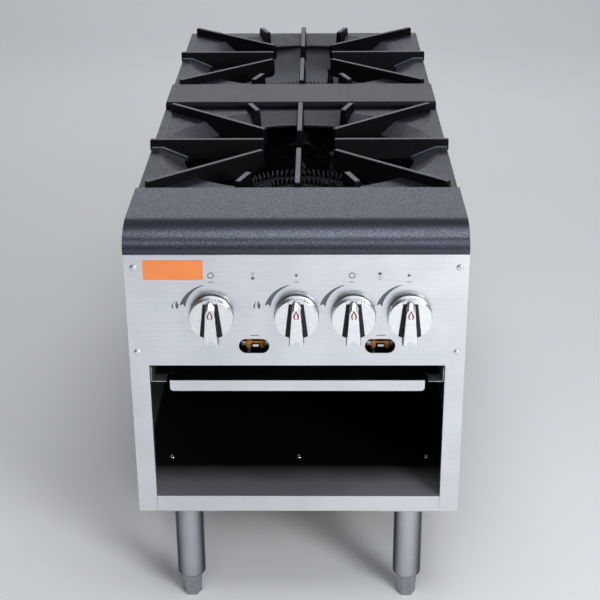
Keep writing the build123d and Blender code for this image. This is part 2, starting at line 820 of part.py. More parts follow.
def gas_tube(valve_x, burner_x):
    """A tube along the range with one sideways jog."""
    run = abs(valve_x - burner_x)
    with BuildPart() as tube:
        with BuildLine() as path:
            FilletPolyline(
                (valve_x, tube_start, knob_z),
                (valve_x, jog_y, knob_z),
                (burner_x, jog_y + run, knob_z),
                (burner_x, tube_end, knob_z),
                radius=tube_bend,
            )
        with BuildSketch(Plane(origin=path.line @ 0, z_dir=path.line % 0)):
            Circle(gas_tube_r)
        sweep()
    return tube.part


save(gas_tube(knob_xs[2], 0), "rear_inner_gas_tube")
save(gas_tube(knob_xs[3], outer_tube_x), "rear_outer_gas_tube")

# Orifices: brass hoods that blow into the four mixing tubes.
orifice_places = (
    (knob_xs[0], tube_start),
    (knob_xs[1], tube_start),
    (0, tube_end),
    (outer_tube_x, tube_end),
)
with BuildPart() as orifices:
    for x, y in orifice_places:
        with BuildSketch(upright(y + 0.1)):
            with Locations((x, knob_z)):
                RegularPolygon(orifice_r, 6)
        extrude(amount=-orifice_length * 0.6)
        with BuildSketch(upright(y + 0.1 + orifice_length * 0.6)):
            with Locations((x, knob_z)):
                Circle(orifice_r - 2)
        extrude(amount=-orifice_length * 0.4)
save(orifices.part, "orifices")

# Pilots: a valve behind each window, a thin tube and an upright pilot burner.
barrel_r, barrel_length, barrel_pitch = 4.2, 17.0, 19.0
bar_y, bar_z = 5.0, 7.0
pilot_y = panel_y + 20.0
pilot_head = (53.0, 112.0)  # from the burner's centre
head_r, head_bottom, head_top = 5.0, 520.0, 548.0
cap_r, cap_h = 6.5, 4.0
pilot_tube_r, pilot_tube_z, pilot_tube_bend = 2.4, 388.0, 12.0
strap_t, strap_width, strap_foot = 2.0, 12.0, 15.0


def pilot_valve(x):
    """Two upright barrels joined by a bar, with a nipple back to the manifold."""
    with BuildPart() as valve:
        with Locations((x, pilot_y, window_z)):
            with GridLocations(barrel_pitch, 1, 2, 1):
                Cylinder(barrel_r, barrel_length)
        with Locations((x, pilot_y, window_z + bar_z)):
            Box(barrel_pitch, bar_y, bar_z)
        with BuildSketch(upright(pilot_y)):
            with Locations((x, nipple_z)):
                Circle(nipple_r)
        extrude(amount=-(manifold_y - pilot_y - nipple_r))
    return valve.part


def pilot_burner(centre_y):
    """An upright pilot burner with its cap, on a strap from the rear rest bar."""
    x, y = pilot_head[0], centre_y + pilot_head[1]
    with BuildPart() as pilot:
        with Locations((x, y, head_bottom)):
            Cylinder(head_r, head_top - head_bottom, align=(Align.CENTER, Align.CENTER, Align.MIN))
        with Locations((x, y, head_top - cap_h)):
            Cylinder(cap_r, cap_h, align=(Align.CENTER, Align.CENTER, Align.MIN))
        with Locations((x, y - head_r, rest_z)):
            Box(
                strap_width,
                strap_t,
                head_bottom + 8 - rest_z,
                align=(Align.CENTER, Align.CENTER, Align.MIN),
            )
        with Locations((x, y - head_r + strap_t / 2 - strap_foot / 2, rest_z + strap_t / 2)):
            Box(strap_width, strap_foot, strap_t)
    return pilot.part


def pilot_tube(valve_x, centre_y):
    """A thin tube from a pilot valve, under the burners, up to a pilot burner."""
    x, y = pilot_head[0], centre_y + pilot_head[1]
    start_x = valve_x - barrel_pitch / 2
    jog_end = y - 30
    with BuildPart() as tube:
        with BuildLine() as path:
            FilletPolyline(
                (start_x, pilot_y, window_z - barrel_length / 2),
                (start_x, pilot_y, pilot_tube_z),
                (start_x, jog_end - abs(x - start_x), pilot_tube_z),
                (x, jog_end, pilot_tube_z),
                (x, y, pilot_tube_z),
                (x, y, head_bottom),
                radius=pilot_tube_bend,
            )
        with BuildSketch(Plane(origin=path.line @ 0, z_dir=path.line % 0)):
            Circle(pilot_tube_r)
        sweep()
    return tube.part


for place, centre, x in (
    ("front", front_grate_y, window_xs[0]),
    ("rear", rear_grate_y, window_xs[1]),
):
    save(pilot_valve(x), f"{place}_pilot_valve")
    save(pilot_burner(centre), f"{place}_pilot_burner")
    save(pilot_tube(x, centre), f"{place}_pilot_tube")

# ---------------------------------------------------------------- drip tray


def tray_rail(side):
    """One folded rail on a side panel: a leg the tray runs on, a web and a top flange."""
    wall = half - sheet - gap
    with BuildPart() as rail:
        with BuildSketch(upright(rail_front)):
            with Locations((side * (rail_in + rail_out) / 2, rail_z - sheet / 2)):
                Rectangle(rail_out - rail_in, sheet)
            with Locations((side * (rail_out - sheet / 2), (rail_z - sheet + rail_top) / 2)):
                Rectangle(sheet, rail_top - rail_z + sheet)
        extrude(amount=-(rail_back - rail_front))
        with BuildSketch(upright(rail_flange_front)):
            with Locations((side * (rail_out - sheet + wall) / 2, rail_top - sheet / 2)):
                Rectangle(wall - rail_out + sheet, sheet)
            with Locations((side * (wall - sheet / 2), (rail_top - sheet + rail_fold) / 2)):
                Rectangle(sheet, rail_fold - rail_top + sheet)
        extrude(amount=-(rail_back - rail_flange_front))
    return rail.part


save(tray_rail(-1), "left_tray_rail")
save(tray_rail(1), "right_tray_rail")

flange_top = rail_z + gap + tray_t
with BuildPart() as drip_tray:
    with BuildSketch(upright(tray_front)):
        with Locations((0, (tray_bottom + flange_top) / 2)):
            Rectangle(2 * tray_half, flange_top - tray_bottom)
    extrude(amount=-(tray_back - tray_front))
    fillet(drip_tray.edges().filter_by(Axis.Y).group_by(Axis.Z)[0], tray_corner)
    with BuildSketch(upright(tray_front + tray_t)):
        with Locations((0, tray_front_top)):
            Rectangle(
                2 * (tray_half - tray_t),
                2 * (tray_front_top - tray_bottom - tray_t),
            )
    extrude(amount=-(tray_back - tray_front - 2 * tray_t), mode=Mode.SUBTRACT)
    # front lip above the pan, and the flanges that run on the rails
    with BuildSketch(upright(tray_front)):
        with Locations((0, (flange_top + tray_front_top) / 2 - tray_t / 2)):
            Rectangle(2 * tray_half, tray_front_top - flange_top + tray_t)
    extrude(amount=-tray_t)
    with BuildSketch(upright(tray_flange_front)):
        for side in (-1, 1):
            with Locations((side * (tray_half + tray_flange_half) / 2, flange_top - tray_t / 2)):
                Rectangle(tray_flange_half - tray_half + 0.2, tray_t)
    extrude(amount=-(tray_back - tray_flange_front))
save(drip_tray.part, "drip_tray")

# ---------------------------------------------------------------- legs and feet


def leg(x, y, plate_y):
    """A tube leg with a top plate and an insert that the foot screws into."""
    with BuildPart() as tube:
        with Locations((x, y, leg_bottom)):
            Cylinder(leg_r, cabinet_z - leg_bottom, align=(Align.CENTER, Align.CENTER, Align.MIN))
        fillet(tube.edges().group_by(Axis.Z)[0], 2.5)
        with Locations((x, y, leg_insert_top)):
            Cylinder(
                leg_r - leg_wall,
                cabinet_z - leg_plate_t - leg_insert_top,
                align=(Align.CENTER, Align.CENTER, Align.MIN),
                mode=Mode.SUBTRACT,
            )
        with Locations((x, plate_y, cabinet_z - leg_plate_t / 2)):
            Box(leg_plate, leg_plate, leg_plate_t)
        with Locations(*[(i, j, cabinet_z) for i, j in bolt_places(x, plate_y)]):
            Cylinder(leg_bolt_hole_r, 3 * leg_plate_t, mode=Mode.SUBTRACT)
        with Locations((x, y, leg_bottom)):
            Cylinder(
                foot_stud_r + foot_fit,
                3 * (leg_insert_top - leg_bottom),
                mode=Mode.SUBTRACT,
            )
    return tube.part


def foot(x, y):
    """An adjustable foot: a stud, a round collar and a tapering hexagonal end."""
    with BuildPart() as body:
        with BuildSketch(Plane.XY):
            with Locations((x, y)):
                RegularPolygon(foot_base_r, 6)
        with BuildSketch(Plane.XY.offset(foot_neck_z)):
            with Locations((x, y)):
                RegularPolygon(foot_r, 6)
        loft()
        with Locations((x, y, foot_neck_z)):
            Cylinder(
                foot_r,
                leg_bottom - gap - foot_neck_z,
                align=(Align.CENTER, Align.CENTER, Align.MIN),
            )
            Cylinder(
                foot_stud_r,
                foot_stud_top - foot_neck_z,
                align=(Align.CENTER, Align.CENTER, Align.MIN),
            )
    return body.part


for number, (x, y) in enumerate(leg_places, 1):
    save(leg(x, y, plate_ys[(number - 1) // 2]), f"leg_{number}")
    save(foot(x, y), f"foot_{number}")

# ---------------------------------------------------------------- fasteners and badge
with BuildPart() as leg_bolts:
    for x, plate_y in [(side * leg_x, y) for y in plate_ys for side in (-1, 1)]:
        for i, j in bolt_places(x, plate_y):
            with BuildSketch(Plane.XY.offset(cabinet_z - leg_plate_t)):
                with Locations((i, j)):
                    RegularPolygon(leg_bolt_head_r, 6)
            extrude(amount=-5)
            with Locations((i, j, cabinet_z - leg_plate_t)):
                Cylinder(leg_bolt_r, 12, align=(Align.CENTER, Align.CENTER, Align.MIN))
save(leg_bolts.part, "leg_bolts")


def screw():
    """A pan head screw, its head on the ground plane and its shank downwards."""
    with BuildPart() as body:
        Cylinder(screw_head_r, screw_head_h, align=(Align.CENTER, Align.CENTER, Align.MIN))
        fillet(body.edges().group_by(Axis.Z)[-1], screw_head_h * 0.75)
        Cylinder(screw_r, screw_length, align=(Align.CENTER, Align.CENTER, Align.MAX))
    return body.part


with BuildPart() as body_screws:
    with Locations(*[Location((x, panel_y, z), (90, 0, 0)) for x, z in panel_screws]):
        add(screw())
    with Locations(*[(x, y, floor_z) for x in floor_screw_xs for y in floor_screw_ys]):
        add(screw())
save(body_screws.part, "body_screws")

with BuildPart() as badge_plate:
    with BuildSketch(upright(panel_y)):
        with Locations((badge_x, badge_z)):
            RectangleRounded(badge_width, badge_height, badge_corner)
    extrude(amount=badge_t)
save(badge_plate.part, "badge_plate")
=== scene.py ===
"""Looks of a two-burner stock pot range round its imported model.

Metres, +Z up, the knobs towards -Y. Sizes in the classes are millimetres.
"""

import logging
import math
from dataclasses import dataclass
from enum import Enum
from itertools import product
from typing import Callable, Sequence

import bmesh
import bpy
from mathutils import Matrix, Vector


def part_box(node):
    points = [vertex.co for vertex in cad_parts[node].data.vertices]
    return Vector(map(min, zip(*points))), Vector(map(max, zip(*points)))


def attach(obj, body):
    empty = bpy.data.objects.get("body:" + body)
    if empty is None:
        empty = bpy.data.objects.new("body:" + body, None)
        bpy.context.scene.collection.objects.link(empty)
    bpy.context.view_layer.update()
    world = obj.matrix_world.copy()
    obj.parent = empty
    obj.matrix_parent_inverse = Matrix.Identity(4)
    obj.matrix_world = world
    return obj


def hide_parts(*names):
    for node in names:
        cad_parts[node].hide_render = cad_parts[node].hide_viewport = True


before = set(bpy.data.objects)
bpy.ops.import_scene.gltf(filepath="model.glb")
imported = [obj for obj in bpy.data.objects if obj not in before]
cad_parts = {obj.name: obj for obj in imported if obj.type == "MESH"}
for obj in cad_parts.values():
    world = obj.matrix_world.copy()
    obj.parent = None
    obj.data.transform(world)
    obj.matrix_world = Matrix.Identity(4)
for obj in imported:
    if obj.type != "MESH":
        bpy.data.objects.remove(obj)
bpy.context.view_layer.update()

LOG = logging.getLogger("stock_pot_range")
MM = 0.001

Point = tuple[float, float]
Spot = tuple[float, float, float]

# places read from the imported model, mm
PANEL_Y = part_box("front_panel")[0].y / MM
GRATE_CENTRES = {
    place: (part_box(f"{place}_grate")[0].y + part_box(f"{place}_grate")[1].y) / 2 / MM
    for place in ("front", "rear")
}
# places of the knobs' axes and of the pilot windows, as in the part's source, mm
KNOB_Z = 474.5
KNOB_XS = (-114.3, 0.0, 76.2, 151.4)
WINDOW_XS = (-57.2, 113.8)
WINDOW_Z = 427.3
TOWARDS_FRONT = (0, -1, 0)


# ---------------------------------------------------------------- materials
class Slot(Enum):
    """Material slots of the record."""

    STAINLESS = "stainless"
    SHEET = "plated_sheet"
    DECK = "deck_enamel"
    GRATE = "grate_iron"
    BURNER = "burner_iron"
    PIPE = "pipe"
    BRASS = "brass"
    PILOT = "pilot_steel"
    KNOB = "knob_metal"
    TRAY = "tray_steel"
    LEG = "leg_metal"
    FOOT = "foot_metal"
    FASTENER = "fastener"
    BADGE = "badge"


class Grain(Enum):
    """Direction of the brush lines: size of one line along X, Y and Z, mm.

    Real brush lines are about 0.05 mm wide. They are drawn ten times as coarse or more, to show.
    """

    LEVEL = (260.0, 260.0, 0.55)
    ALONG = (0.55, 260.0, 260.0)
    UPRIGHT = (0.8, 0.8, 200.0)


def linear(colour: str) -> tuple[float, float, float, float]:
    """Turns an sRGB hex colour to linear.

    Args:
        colour: "#RRGGBB".

    Returns:
        Red, green, blue and an alpha of 1.
    """
    parts = [int(colour[i : i + 2], 16) / 255 for i in (1, 3, 5)]
    red, green, blue = [c / 12.92 if c <= 0.04045 else ((c + 0.055) / 1.055) ** 2.4 for c in parts]
    return red, green, blue, 1.0


def add_node(
    tree: bpy.types.NodeTree, kind: str, settings: dict | None = None, links: dict | None = None
) -> bpy.types.Node:
    """Adds one node with its settings and links.

    Args:
        tree: The material's or world's node tree.
        kind: The node's type.
        settings: Values of sockets, by name or number, or of the node's own properties.
        links: Sockets of this node, by name or number, to the outputs that feed them.

    Returns:
        The new node.
    """
    made = tree.nodes.new(kind)
    for key, value in (settings or {}).items():
        if isinstance(key, str) and key not in made.inputs:
            setattr(made, key, value)
        else:
            made.inputs[key].default_value = value
    for key, output in (links or {}).items():
        tree.links.new(output, made.inputs[key])
    return made


def new_material(name: str) -> tuple[bpy.types.Material, bpy.types.NodeTree, bpy.types.NodeSocket]:
    """Starts a node material.

    Args:
        name: Name of the finish.

    Returns:
        The material, its empty tree and the object coordinates.
    """
    material = bpy.data.materials.new(name)
    material.use_nodes = True
    tree = material.node_tree
    tree.nodes.clear()
    place = add_node(tree, "ShaderNodeTexCoord")
    return material, tree, place.outputs["Object"]


def end_material(tree: bpy.types.NodeTree, settings: dict, links: dict) -> None:
    """Ends a node material in a principled shader."""
    shader = add_node(tree, "ShaderNodeBsdfPrincipled", settings, links)
    add_node(tree, "ShaderNodeOutputMaterial", links={"Surface": shader.outputs["BSDF"]})


def scaled(
    tree: bpy.types.NodeTree, place: bpy.types.NodeSocket, size_mm: Spot | float
) -> bpy.types.NodeSocket:
    """Coordinates in which one unit is a real size.

    Args:
        tree: The material's tree.
        place: Object coordinates, in metres.
        size_mm: Length of one unit, for all axes or for each.

    Returns:
        The scaled coordinates.
    """
    sizes = size_mm if isinstance(size_mm, tuple) else (size_mm,) * 3
    scale = [1 / (s * MM) for s in sizes]
    mapping = add_node(tree, "ShaderNodeMapping", {"Scale": scale}, {"Vector": place})
    return mapping.outputs["Vector"]


def noise(
    tree: bpy.types.NodeTree, place: bpy.types.NodeSocket, size_mm: Spot | float, detail: float = 2.0
) -> bpy.types.NodeSocket:
    """Noise whose lumps have a real size.

    Args:
        tree: The material's tree.
        place: Object coordinates, in metres.
        size_mm: Size of one lump, for all axes or for each.
        detail: Finer layers on top.

    Returns:
        The noise's value, 0 to 1.
    """
    lumps = add_node(
        tree,
        "ShaderNodeTexNoise",
        {"Scale": 1.0, "Detail": detail, "Roughness": 0.55},
        {"Vector": scaled(tree, place, size_mm)},
    )
    return lumps.outputs["Fac"]


def ramp(
    tree: bpy.types.NodeTree,
    value: bpy.types.NodeSocket,
    low: Sequence[float],
    high: Sequence[float],
    stops: Point = (0.3, 0.7),
) -> bpy.types.NodeSocket:
    """Turns a value into a colour between two, or into a number when both are greys.

    Args:
        tree: The material's tree.
        value: What drives the ramp.
        low: Linear colour at the first stop.
        high: Linear colour at the second stop.
        stops: Places of the two stops.

    Returns:
        The colour.
    """
    made = add_node(tree, "ShaderNodeValToRGB", links={"Fac": value})
    for element, colour, stop in zip(made.color_ramp.elements, (low, high), stops):
        element.color = colour
        element.position = stop
    return made.outputs["Color"]


def grey(value: float) -> tuple[float, float, float, float]:
    """A linear grey."""
    return value, value, value, 1.0


def bump(
    tree: bpy.types.NodeTree, height: bpy.types.NodeSocket, depth_mm: float, strength: float = 1.0
) -> bpy.types.NodeSocket:
    """A bump of a real depth.

    Args:
        tree: The material's tree.
        height: 0 to 1.
        depth_mm: Depth of the relief.
        strength: Share of it that shows.

    Returns:
        The normal.
    """
    made = add_node(
        tree, "ShaderNodeBump", {"Distance": depth_mm * MM, "Strength": strength}, {"Height": height}
    )
    return made.outputs["Normal"]


def fade(
    tree: bpy.types.NodeTree,
    value: bpy.types.NodeSocket,
    reach: Point,
    colour: bpy.types.NodeSocket,
    end: str,
) -> bpy.types.NodeSocket:
    """Fades a colour into another one as a value grows.

    Args:
        tree: The material's tree.
        value: What drives the fade.
        reach: Values at which it starts and ends.
        colour: The colour before the fade.
        end: The colour after it, sRGB hex.

    Returns:
        The colour.
    """
    settings = {"From Min": reach[0], "From Max": reach[1]}
    share = add_node(tree, "ShaderNodeMapRange", settings, {"Value": value})
    mixed = add_node(
        tree,
        "ShaderNodeMix",
        {"data_type": "RGBA", "B": linear(end)},
        {"Factor": share.outputs["Result"], "A": colour},
    )
    return mixed.outputs["Result"]


def shade_edges(
    tree: bpy.types.NodeTree, colour: bpy.types.NodeSocket, edge: str, reach: Point
) -> bpy.types.NodeSocket:
    """Paints a dark reflection on a round metal part towards its outline, in place of the dark sides
    of a room that it would mirror.

    Args:
        tree: The material's tree.
        colour: Its colour where it faces the eye.
        edge: Colour of the painted dark reflection at a glancing angle, sRGB hex.
        reach: Turn away from the eye at which the painted darkening starts and ends, 0 to 1.

    Returns:
        The colour.
    """
    layer = add_node(tree, "ShaderNodeLayerWeight", {"Blend": 0.5})
    return fade(tree, layer.outputs["Facing"], reach, colour, edge)


@dataclass(frozen=True)
class BrushedStainless:
    """Stainless sheet with a brushed finish: fine parallel lines that smear its reflections. It can
    also take painted shade along Y and a painted dark reflection at its outline.
    """

    name: str = "brushed stainless steel"
    light: str = "#E4E5E9"
    dark: str = "#D9DBE0"
    grain: Grain = Grain.LEVEL
    roughness: float = 0.3
    metallic: float = 1.0
    handling_mm: float = 90.0
    relief_mm: float = 0.012
    # span along Y, mm, over which painted shade fades it to near black, and the shade's colour
    painted_shade_span: Point | None = None
    painted_shade_colour: str = "#0A0A0B"
    # colour of a painted dark reflection at its outline, and the turn over which it fades in
    edge: str | None = None
    edge_reach: Point = (0.14, 0.6)

    def build(self) -> bpy.types.Material:
        """Makes the material."""
        material, tree, place = new_material(self.name)
        lines = noise(tree, place, self.grain.value, 3.0)
        handling = noise(tree, place, self.handling_mm, 2.0)
        colour = ramp(tree, handling, linear(self.dark), linear(self.light), (0.35, 0.65))
        # painted shade: the colour fades to near black along Y
        if self.painted_shade_span:
            split = add_node(tree, "ShaderNodeSeparateXYZ", links={"Vector": place})
            reach = (self.painted_shade_span[0] * MM, self.painted_shade_span[1] * MM)
            colour = fade(tree, split.outputs["Y"], reach, colour, self.painted_shade_colour)
        # painted dark reflection towards the outline
        if self.edge:
            colour = shade_edges(tree, colour, self.edge, self.edge_reach)
        rough = ramp(tree, lines, grey(self.roughness - 0.06), grey(self.roughness + 0.08))
        normal = bump(tree, lines, self.relief_mm, 0.5)
        end_material(
            tree,
            {"Metallic": self.metallic},
            {"Base Color": colour, "Roughness": rough, "Normal": normal},
        )
        return material


@dataclass(frozen=True)
class PlatedSheet:
    """Zinc-coated sheet: faint crystal patches and a dull sheen."""

    name: str = "plated steel sheet"
    light: str = "#A7ABB0"
    dark: str = "#8D9197"
    roughness: float = 0.42
    patch_mm: float = 9.0
    dust_mm: float = 45.0
    relief_mm: float = 0.05

    def build(self) -> bpy.types.Material:
        """Makes the material."""
        material, tree, place = new_material(self.name)
        links = {"Vector": scaled(tree, place, self.patch_mm)}
        patches = add_node(tree, "ShaderNodeTexVoronoi", {"Scale": 1.0}, links)
        dust = noise(tree, place, self.dust_mm, 3.0)
        split = add_node(tree, "ShaderNodeSeparateColor", links={"Color": patches.outputs["Color"]})
        colour = ramp(tree, split.outputs["Red"], linear(self.dark), linear(self.light), (0.0, 1.0))
        rough = ramp(tree, dust, grey(self.roughness - 0.08), grey(self.roughness + 0.1))
        normal = bump(tree, dust, self.relief_mm, 0.2)
        end_material(
            tree, {"Metallic": 1.0}, {"Base Color": colour, "Roughness": rough, "Normal": normal}
        )
        return material


@dataclass(frozen=True)
class WrinkleEnamel:
    """Baked textured enamel on cast iron or steel: fine grit that breaks the highlights up.

    The real grit is about 0.5 mm. It is drawn three to six times as coarse, to show.
    """

    name: str
    light: str
    dark: str
    roughness: float
    grit_mm: float = 1.6
    relief_mm: float = 0.22
    specular: float = 0.5
    sheen: str = "#C9D1E7"
    ior: float = 1.72
    dull_share: float = 0.62

    def build(self) -> bpy.types.Material:
        """Makes the material."""
        material, tree, place = new_material(self.name)
        grit = noise(tree, place, self.grit_mm, 3.0)
        colour = ramp(tree, grit, linear(self.dark), linear(self.light), (0.4, 0.62))
        rough = ramp(tree, grit, grey(self.roughness + 0.12), grey(self.roughness - 0.08))
        dull = grey(self.dull_share * self.specular)
        gloss = ramp(tree, grit, dull, grey(self.specular), (0.36, 0.64))
        end_material(
            tree,
            {"IOR": self.ior, "Specular Tint": linear(self.sheen)},
            {
                "Base Color": colour,
                "Roughness": rough,
                "Specular IOR Level": gloss,
                "Normal": bump(tree, grit, self.relief_mm),
            },
        )
        return material


@dataclass(frozen=True)
class PlainMetal:
    """A machined, drawn or plated metal with a faint uneven polish, and a painted dark reflection at
    its outline when it is given an edge colour.
    """

    name: str
    light: str
    dark: str
    roughness: float
    lump_mm: float = 6.0
    relief_mm: float = 0.02
    metallic: float = 1.0
    # colour of a painted dark reflection at its outline, and the turn over which it fades in
    edge: str | None = None
    edge_reach: Point = (0.45, 0.85)
    smoothest: float = 0.02

    def build(self) -> bpy.types.Material:
        """Makes the material."""
        material, tree, place = new_material(self.name)
        uneven = noise(tree, place, self.lump_mm, 3.0)
        colour = ramp(tree, uneven, linear(self.dark), linear(self.light))
        # painted dark reflection towards the outline
        if self.edge:
            colour = shade_edges(tree, colour, self.edge, self.edge_reach)
        polished = grey(max(self.roughness - 0.04, self.smoothest))
        rough = ramp(tree, uneven, polished, grey(self.roughness + 0.06))
        normal = bump(tree, uneven, self.relief_mm, 0.4)
        end_material(
            tree,
            {"Metallic": self.metallic},
            {"Base Color": colour, "Roughness": rough, "Normal": normal},
        )
        return material


@dataclass(frozen=True)
class SmoothPaint:
    """Sprayed paint, stove enamel or printing ink: an even colour with faint orange peel."""

    name: str
    light: str
    dark: str
    roughness: float
    peel_mm: float = 1.5
    relief_mm: float = 0.02
    tone_mm: float = 30.0
    coat: float = 0.0
    coat_roughness: float = 0.12

    def build(self) -> bpy.types.Material:
        """Makes the material."""
        material, tree, place = new_material(self.name)
        peel = noise(tree, place, self.peel_mm, 1.0)
        tone = noise(tree, place, self.tone_mm, 2.0)
        colour = ramp(tree, tone, linear(self.dark), linear(self.light))
        rough = ramp(tree, peel, grey(self.roughness), grey(self.roughness + 0.08))
        end_material(
            tree,
            {"Coat Weight": self.coat, "Coat Roughness": self.coat_roughness},
            {"Base Color": colour, "Roughness": rough, "Normal": bump(tree, peel, self.relief_mm)},
        )
        return material


class Finishes:
    """All finishes of the range, one material each."""

    def __init__(self) -> None:
        """Builds the materials."""
        self.add_sheets()
        self.add_enamels()
        self.add_metals()
        self.add_paints()

    def add_sheets(self) -> None:
        """Rolled sheet and tube: stainless, zinc-coated, and near-black sheet for painted shade."""
        # sheet with level brush lines: bright, and what it mirrors is smeared up and down
        self.panel = BrushedStainless().build()
        # dull, rough stainless on the floor: pale grey near the front edge, and painted shade that
        # fades it to black further in
        self.floor = BrushedStainless(
            "dull stainless steel, floor", "#92959B", "#82858B",
            grain=Grain.ALONG, roughness=0.5, metallic=0.5, painted_shade_span=(-474.0, -424.0),
        ).build()
        # tube brushed along its length: one soft bright stripe between two edges darkened by a painted
        # dark reflection
        self.leg = BrushedStainless(
            "brushed stainless steel, tube", "#C9CCD3", "#B7BAC1",
            grain=Grain.UPRIGHT, roughness=0.26, edge="#1A1B1D",
        ).build()
        # bare sheet in the burner box, made pale and nearly matt as painted light, so that it shows
        # lit behind the burners
        self.inside = BrushedStainless(
            "steel sheet behind the burners", "#CDD2DA", "#BDC2CA", roughness=0.5, metallic=0.1
        ).build()
        # zinc-coated sheet: faint crystal patches under a dull grey sheen
        self.sheet = PlatedSheet().build()
        # coated sheet painted near black as shade inside the cabinet and the burner box, its patches
        # almost gone
        self.painted_shade_sheet = PlatedSheet(
            "steel sheet in painted shade", "#2C2E32", "#1D1E21", roughness=0.55
        ).build()

    def add_enamels(self) -> None:
        """Textured enamel on the deck, the band and the grates, and the bare iron below."""
        # enamel on the deck: blue-black, its grit sparkles where it faces the light
        self.deck = WrinkleEnamel(
            "dark textured enamel", "#2A2E38", "#0F1115",
            roughness=0.29, grit_mm=1.9, relief_mm=0.2, specular=0.95,
        ).build()
        # the same enamel on the band, darker and with little sheen: a shaded copy of the deck's
        # enamel, as painted shade
        self.band = WrinkleEnamel(
            "dark textured enamel, band", "#1D212A", "#0B0C11",
            roughness=0.29, grit_mm=1.9, relief_mm=0.2, specular=0.34,
        ).build()
        # enamel on sand-cast iron: coarser grit and broader, softer highlights
        self.plate = WrinkleEnamel(
            "dark enamel on cast iron", "#22252D", "#0D0F13",
            roughness=0.36, grit_mm=3.0, relief_mm=0.4, specular=0.85,
        ).build()
        # the plate's enamel made lighter and less blue on the bowl's slope: painted light on the
        # sloping faces
        self.bowl = WrinkleEnamel(
            "enamel in the grate's bowl", "#3E4046", "#2C2D32",
            roughness=0.36, grit_mm=3.0, relief_mm=0.3, specular=1.0, sheen="#D4D8E0",
        ).build()
        # enamel on the arms' sides and the band's front, painted almost black as shade, with almost no
        # sheen, so that the arms stand out
        self.arm = WrinkleEnamel(
            "dark enamel on grate arms", "#0B0C0D", "#070808",
            roughness=0.5, grit_mm=2.6, relief_mm=0.35, specular=0.14,
        ).build()
        # painted highlight: a lighter, smoother grey shine along the tops of the arms and the ribs'
        # front edges
        self.arm_top_highlight = WrinkleEnamel(
            "enamel with painted highlight on arm tops", "#34373F", "#24262C",
            roughness=0.3, grit_mm=2.4, relief_mm=0.25, specular=1.0,
        ).build()
        # iron as it left the sand: dark, rough and almost without sheen
        self.iron = WrinkleEnamel(
            "raw cast iron", "#222326", "#131416",
            roughness=0.55, grit_mm=1.8, relief_mm=0.35, specular=0.3,
        ).build()

    def add_metals(self) -> None:
        """Machined, drawn, cast and plated metals."""
        # iron where it was cut: dull grey points on the dark rings
        self.port = PlainMetal(
            "machined iron port", "#6F7175", "#515357", roughness=0.38, lump_mm=2.0
        ).build()
        # turned brass, slightly tarnished: warm and half bright, with no sharp reflections
        self.brass = PlainMetal(
            "turned brass", "#D9984A", "#9E6426", roughness=0.34, lump_mm=3.0, metallic=0.3
        ).build()
        # zinc casting polished and plated: near white, with a painted dark reflection where it turns
        # away
        self.chrome = PlainMetal(
            "polished zinc casting", "#F0F1F3", "#E4E6EA",
            roughness=0.17, lump_mm=14.0, relief_mm=0.006, edge="#2A2B2E",
        ).build()
        # zinc casting with a satin plating: white and softer, with a painted grey reflection at its
        # edges
        self.knob_face = PlainMetal(
            "satin zinc casting", "#EFF0F3", "#E6E7EB",
            roughness=0.26, lump_mm=10.0, relief_mm=0.01, edge="#3A3B3F",
        ).build()
        # zinc-plated steel: cool light grey with a soft shine
        self.steel = PlainMetal("plated steel", "#BFC2C8", "#A6A9B0", roughness=0.3).build()
        # drawn aluminium: pale grey satin that lights up along each bend
        self.tube = PlainMetal(
            "drawn aluminium tube", "#B9BCC0", "#A3A6AB", roughness=0.34
        ).build()
        # plated casting, not ground: grey, with shallow dimples
        self.foot = PlainMetal(
            "cast plated foot", "#A9ACB3", "#8F9299", roughness=0.34, lump_mm=3.0, relief_mm=0.08
        ).build()

    def add_paints(self) -> None:
        """Paints, printing inks, ceramic and the badge's enamel."""
        # pipe paint: black with a satin sheen along the pipe
        self.pipe = SmoothPaint(
            "black satin pipe paint", "#17181A", "#101113", roughness=0.4
        ).build()
        # painted shade: flat black in the knobs' slots, groove and collar, so that they read as deep
        self.black = SmoothPaint("black slot paint", "#0C0D0E", "#08090A", roughness=0.5).build()
        # printed ink: flat mid grey without texture
        self.ink = SmoothPaint(
            "grey screen print ink", "#5C6068", "#555962", roughness=0.5
        ).build()
        # printed ink: flat dark red
        self.red_ink = SmoothPaint(
            "red screen print ink", "#8E2A38", "#7A1E2C", roughness=0.45
        ).build()
        # glazed ceramic: nearly white with a soft gloss
        self.ceramic = SmoothPaint("pale ceramic", "#ECEEF4", "#DDDFE6", roughness=0.35).build()
        # stove enamel: clean orange with a light gloss over it
        self.badge = SmoothPaint(
            "orange gloss enamel", "#FB914A", "#F78A42", roughness=0.3, coat=0.4
        ).build()


# ---------------------------------------------------------------- modelling
def deselect() -> None:
    """Leaves edit mode and selects nothing."""
    if bpy.context.object and bpy.context.object.mode != "OBJECT":
        bpy.ops.object.mode_set(mode="OBJECT")
    bpy.ops.object.select_all(action="DESELECT")


def activate(piece: bpy.types.Object) -> None:
    """Selects one piece alone and makes it active."""
    deselect()
    piece.select_set(True)
    bpy.context.view_layer.objects.active = piece


def edit(piece: bpy.types.Object) -> None:
    """Opens a piece in edit mode with all of it selected."""
    activate(piece)
    bpy.ops.object.mode_set(mode="EDIT")
    bpy.ops.mesh.select_all(action="SELECT")


def pick(piece: bpy.types.Object, chosen: Callable[[bpy.types.MeshPolygon], bool]) -> None:
    """Opens a piece in edit mode with only its chosen faces selected."""
    edit(piece)
    bpy.ops.mesh.select_all(action="DESELECT")
    bpy.ops.object.mode_set(mode="OBJECT")
    for face in piece.data.polygons:
        face.select = chosen(face)
    bpy.ops.object.mode_set(mode="EDIT")


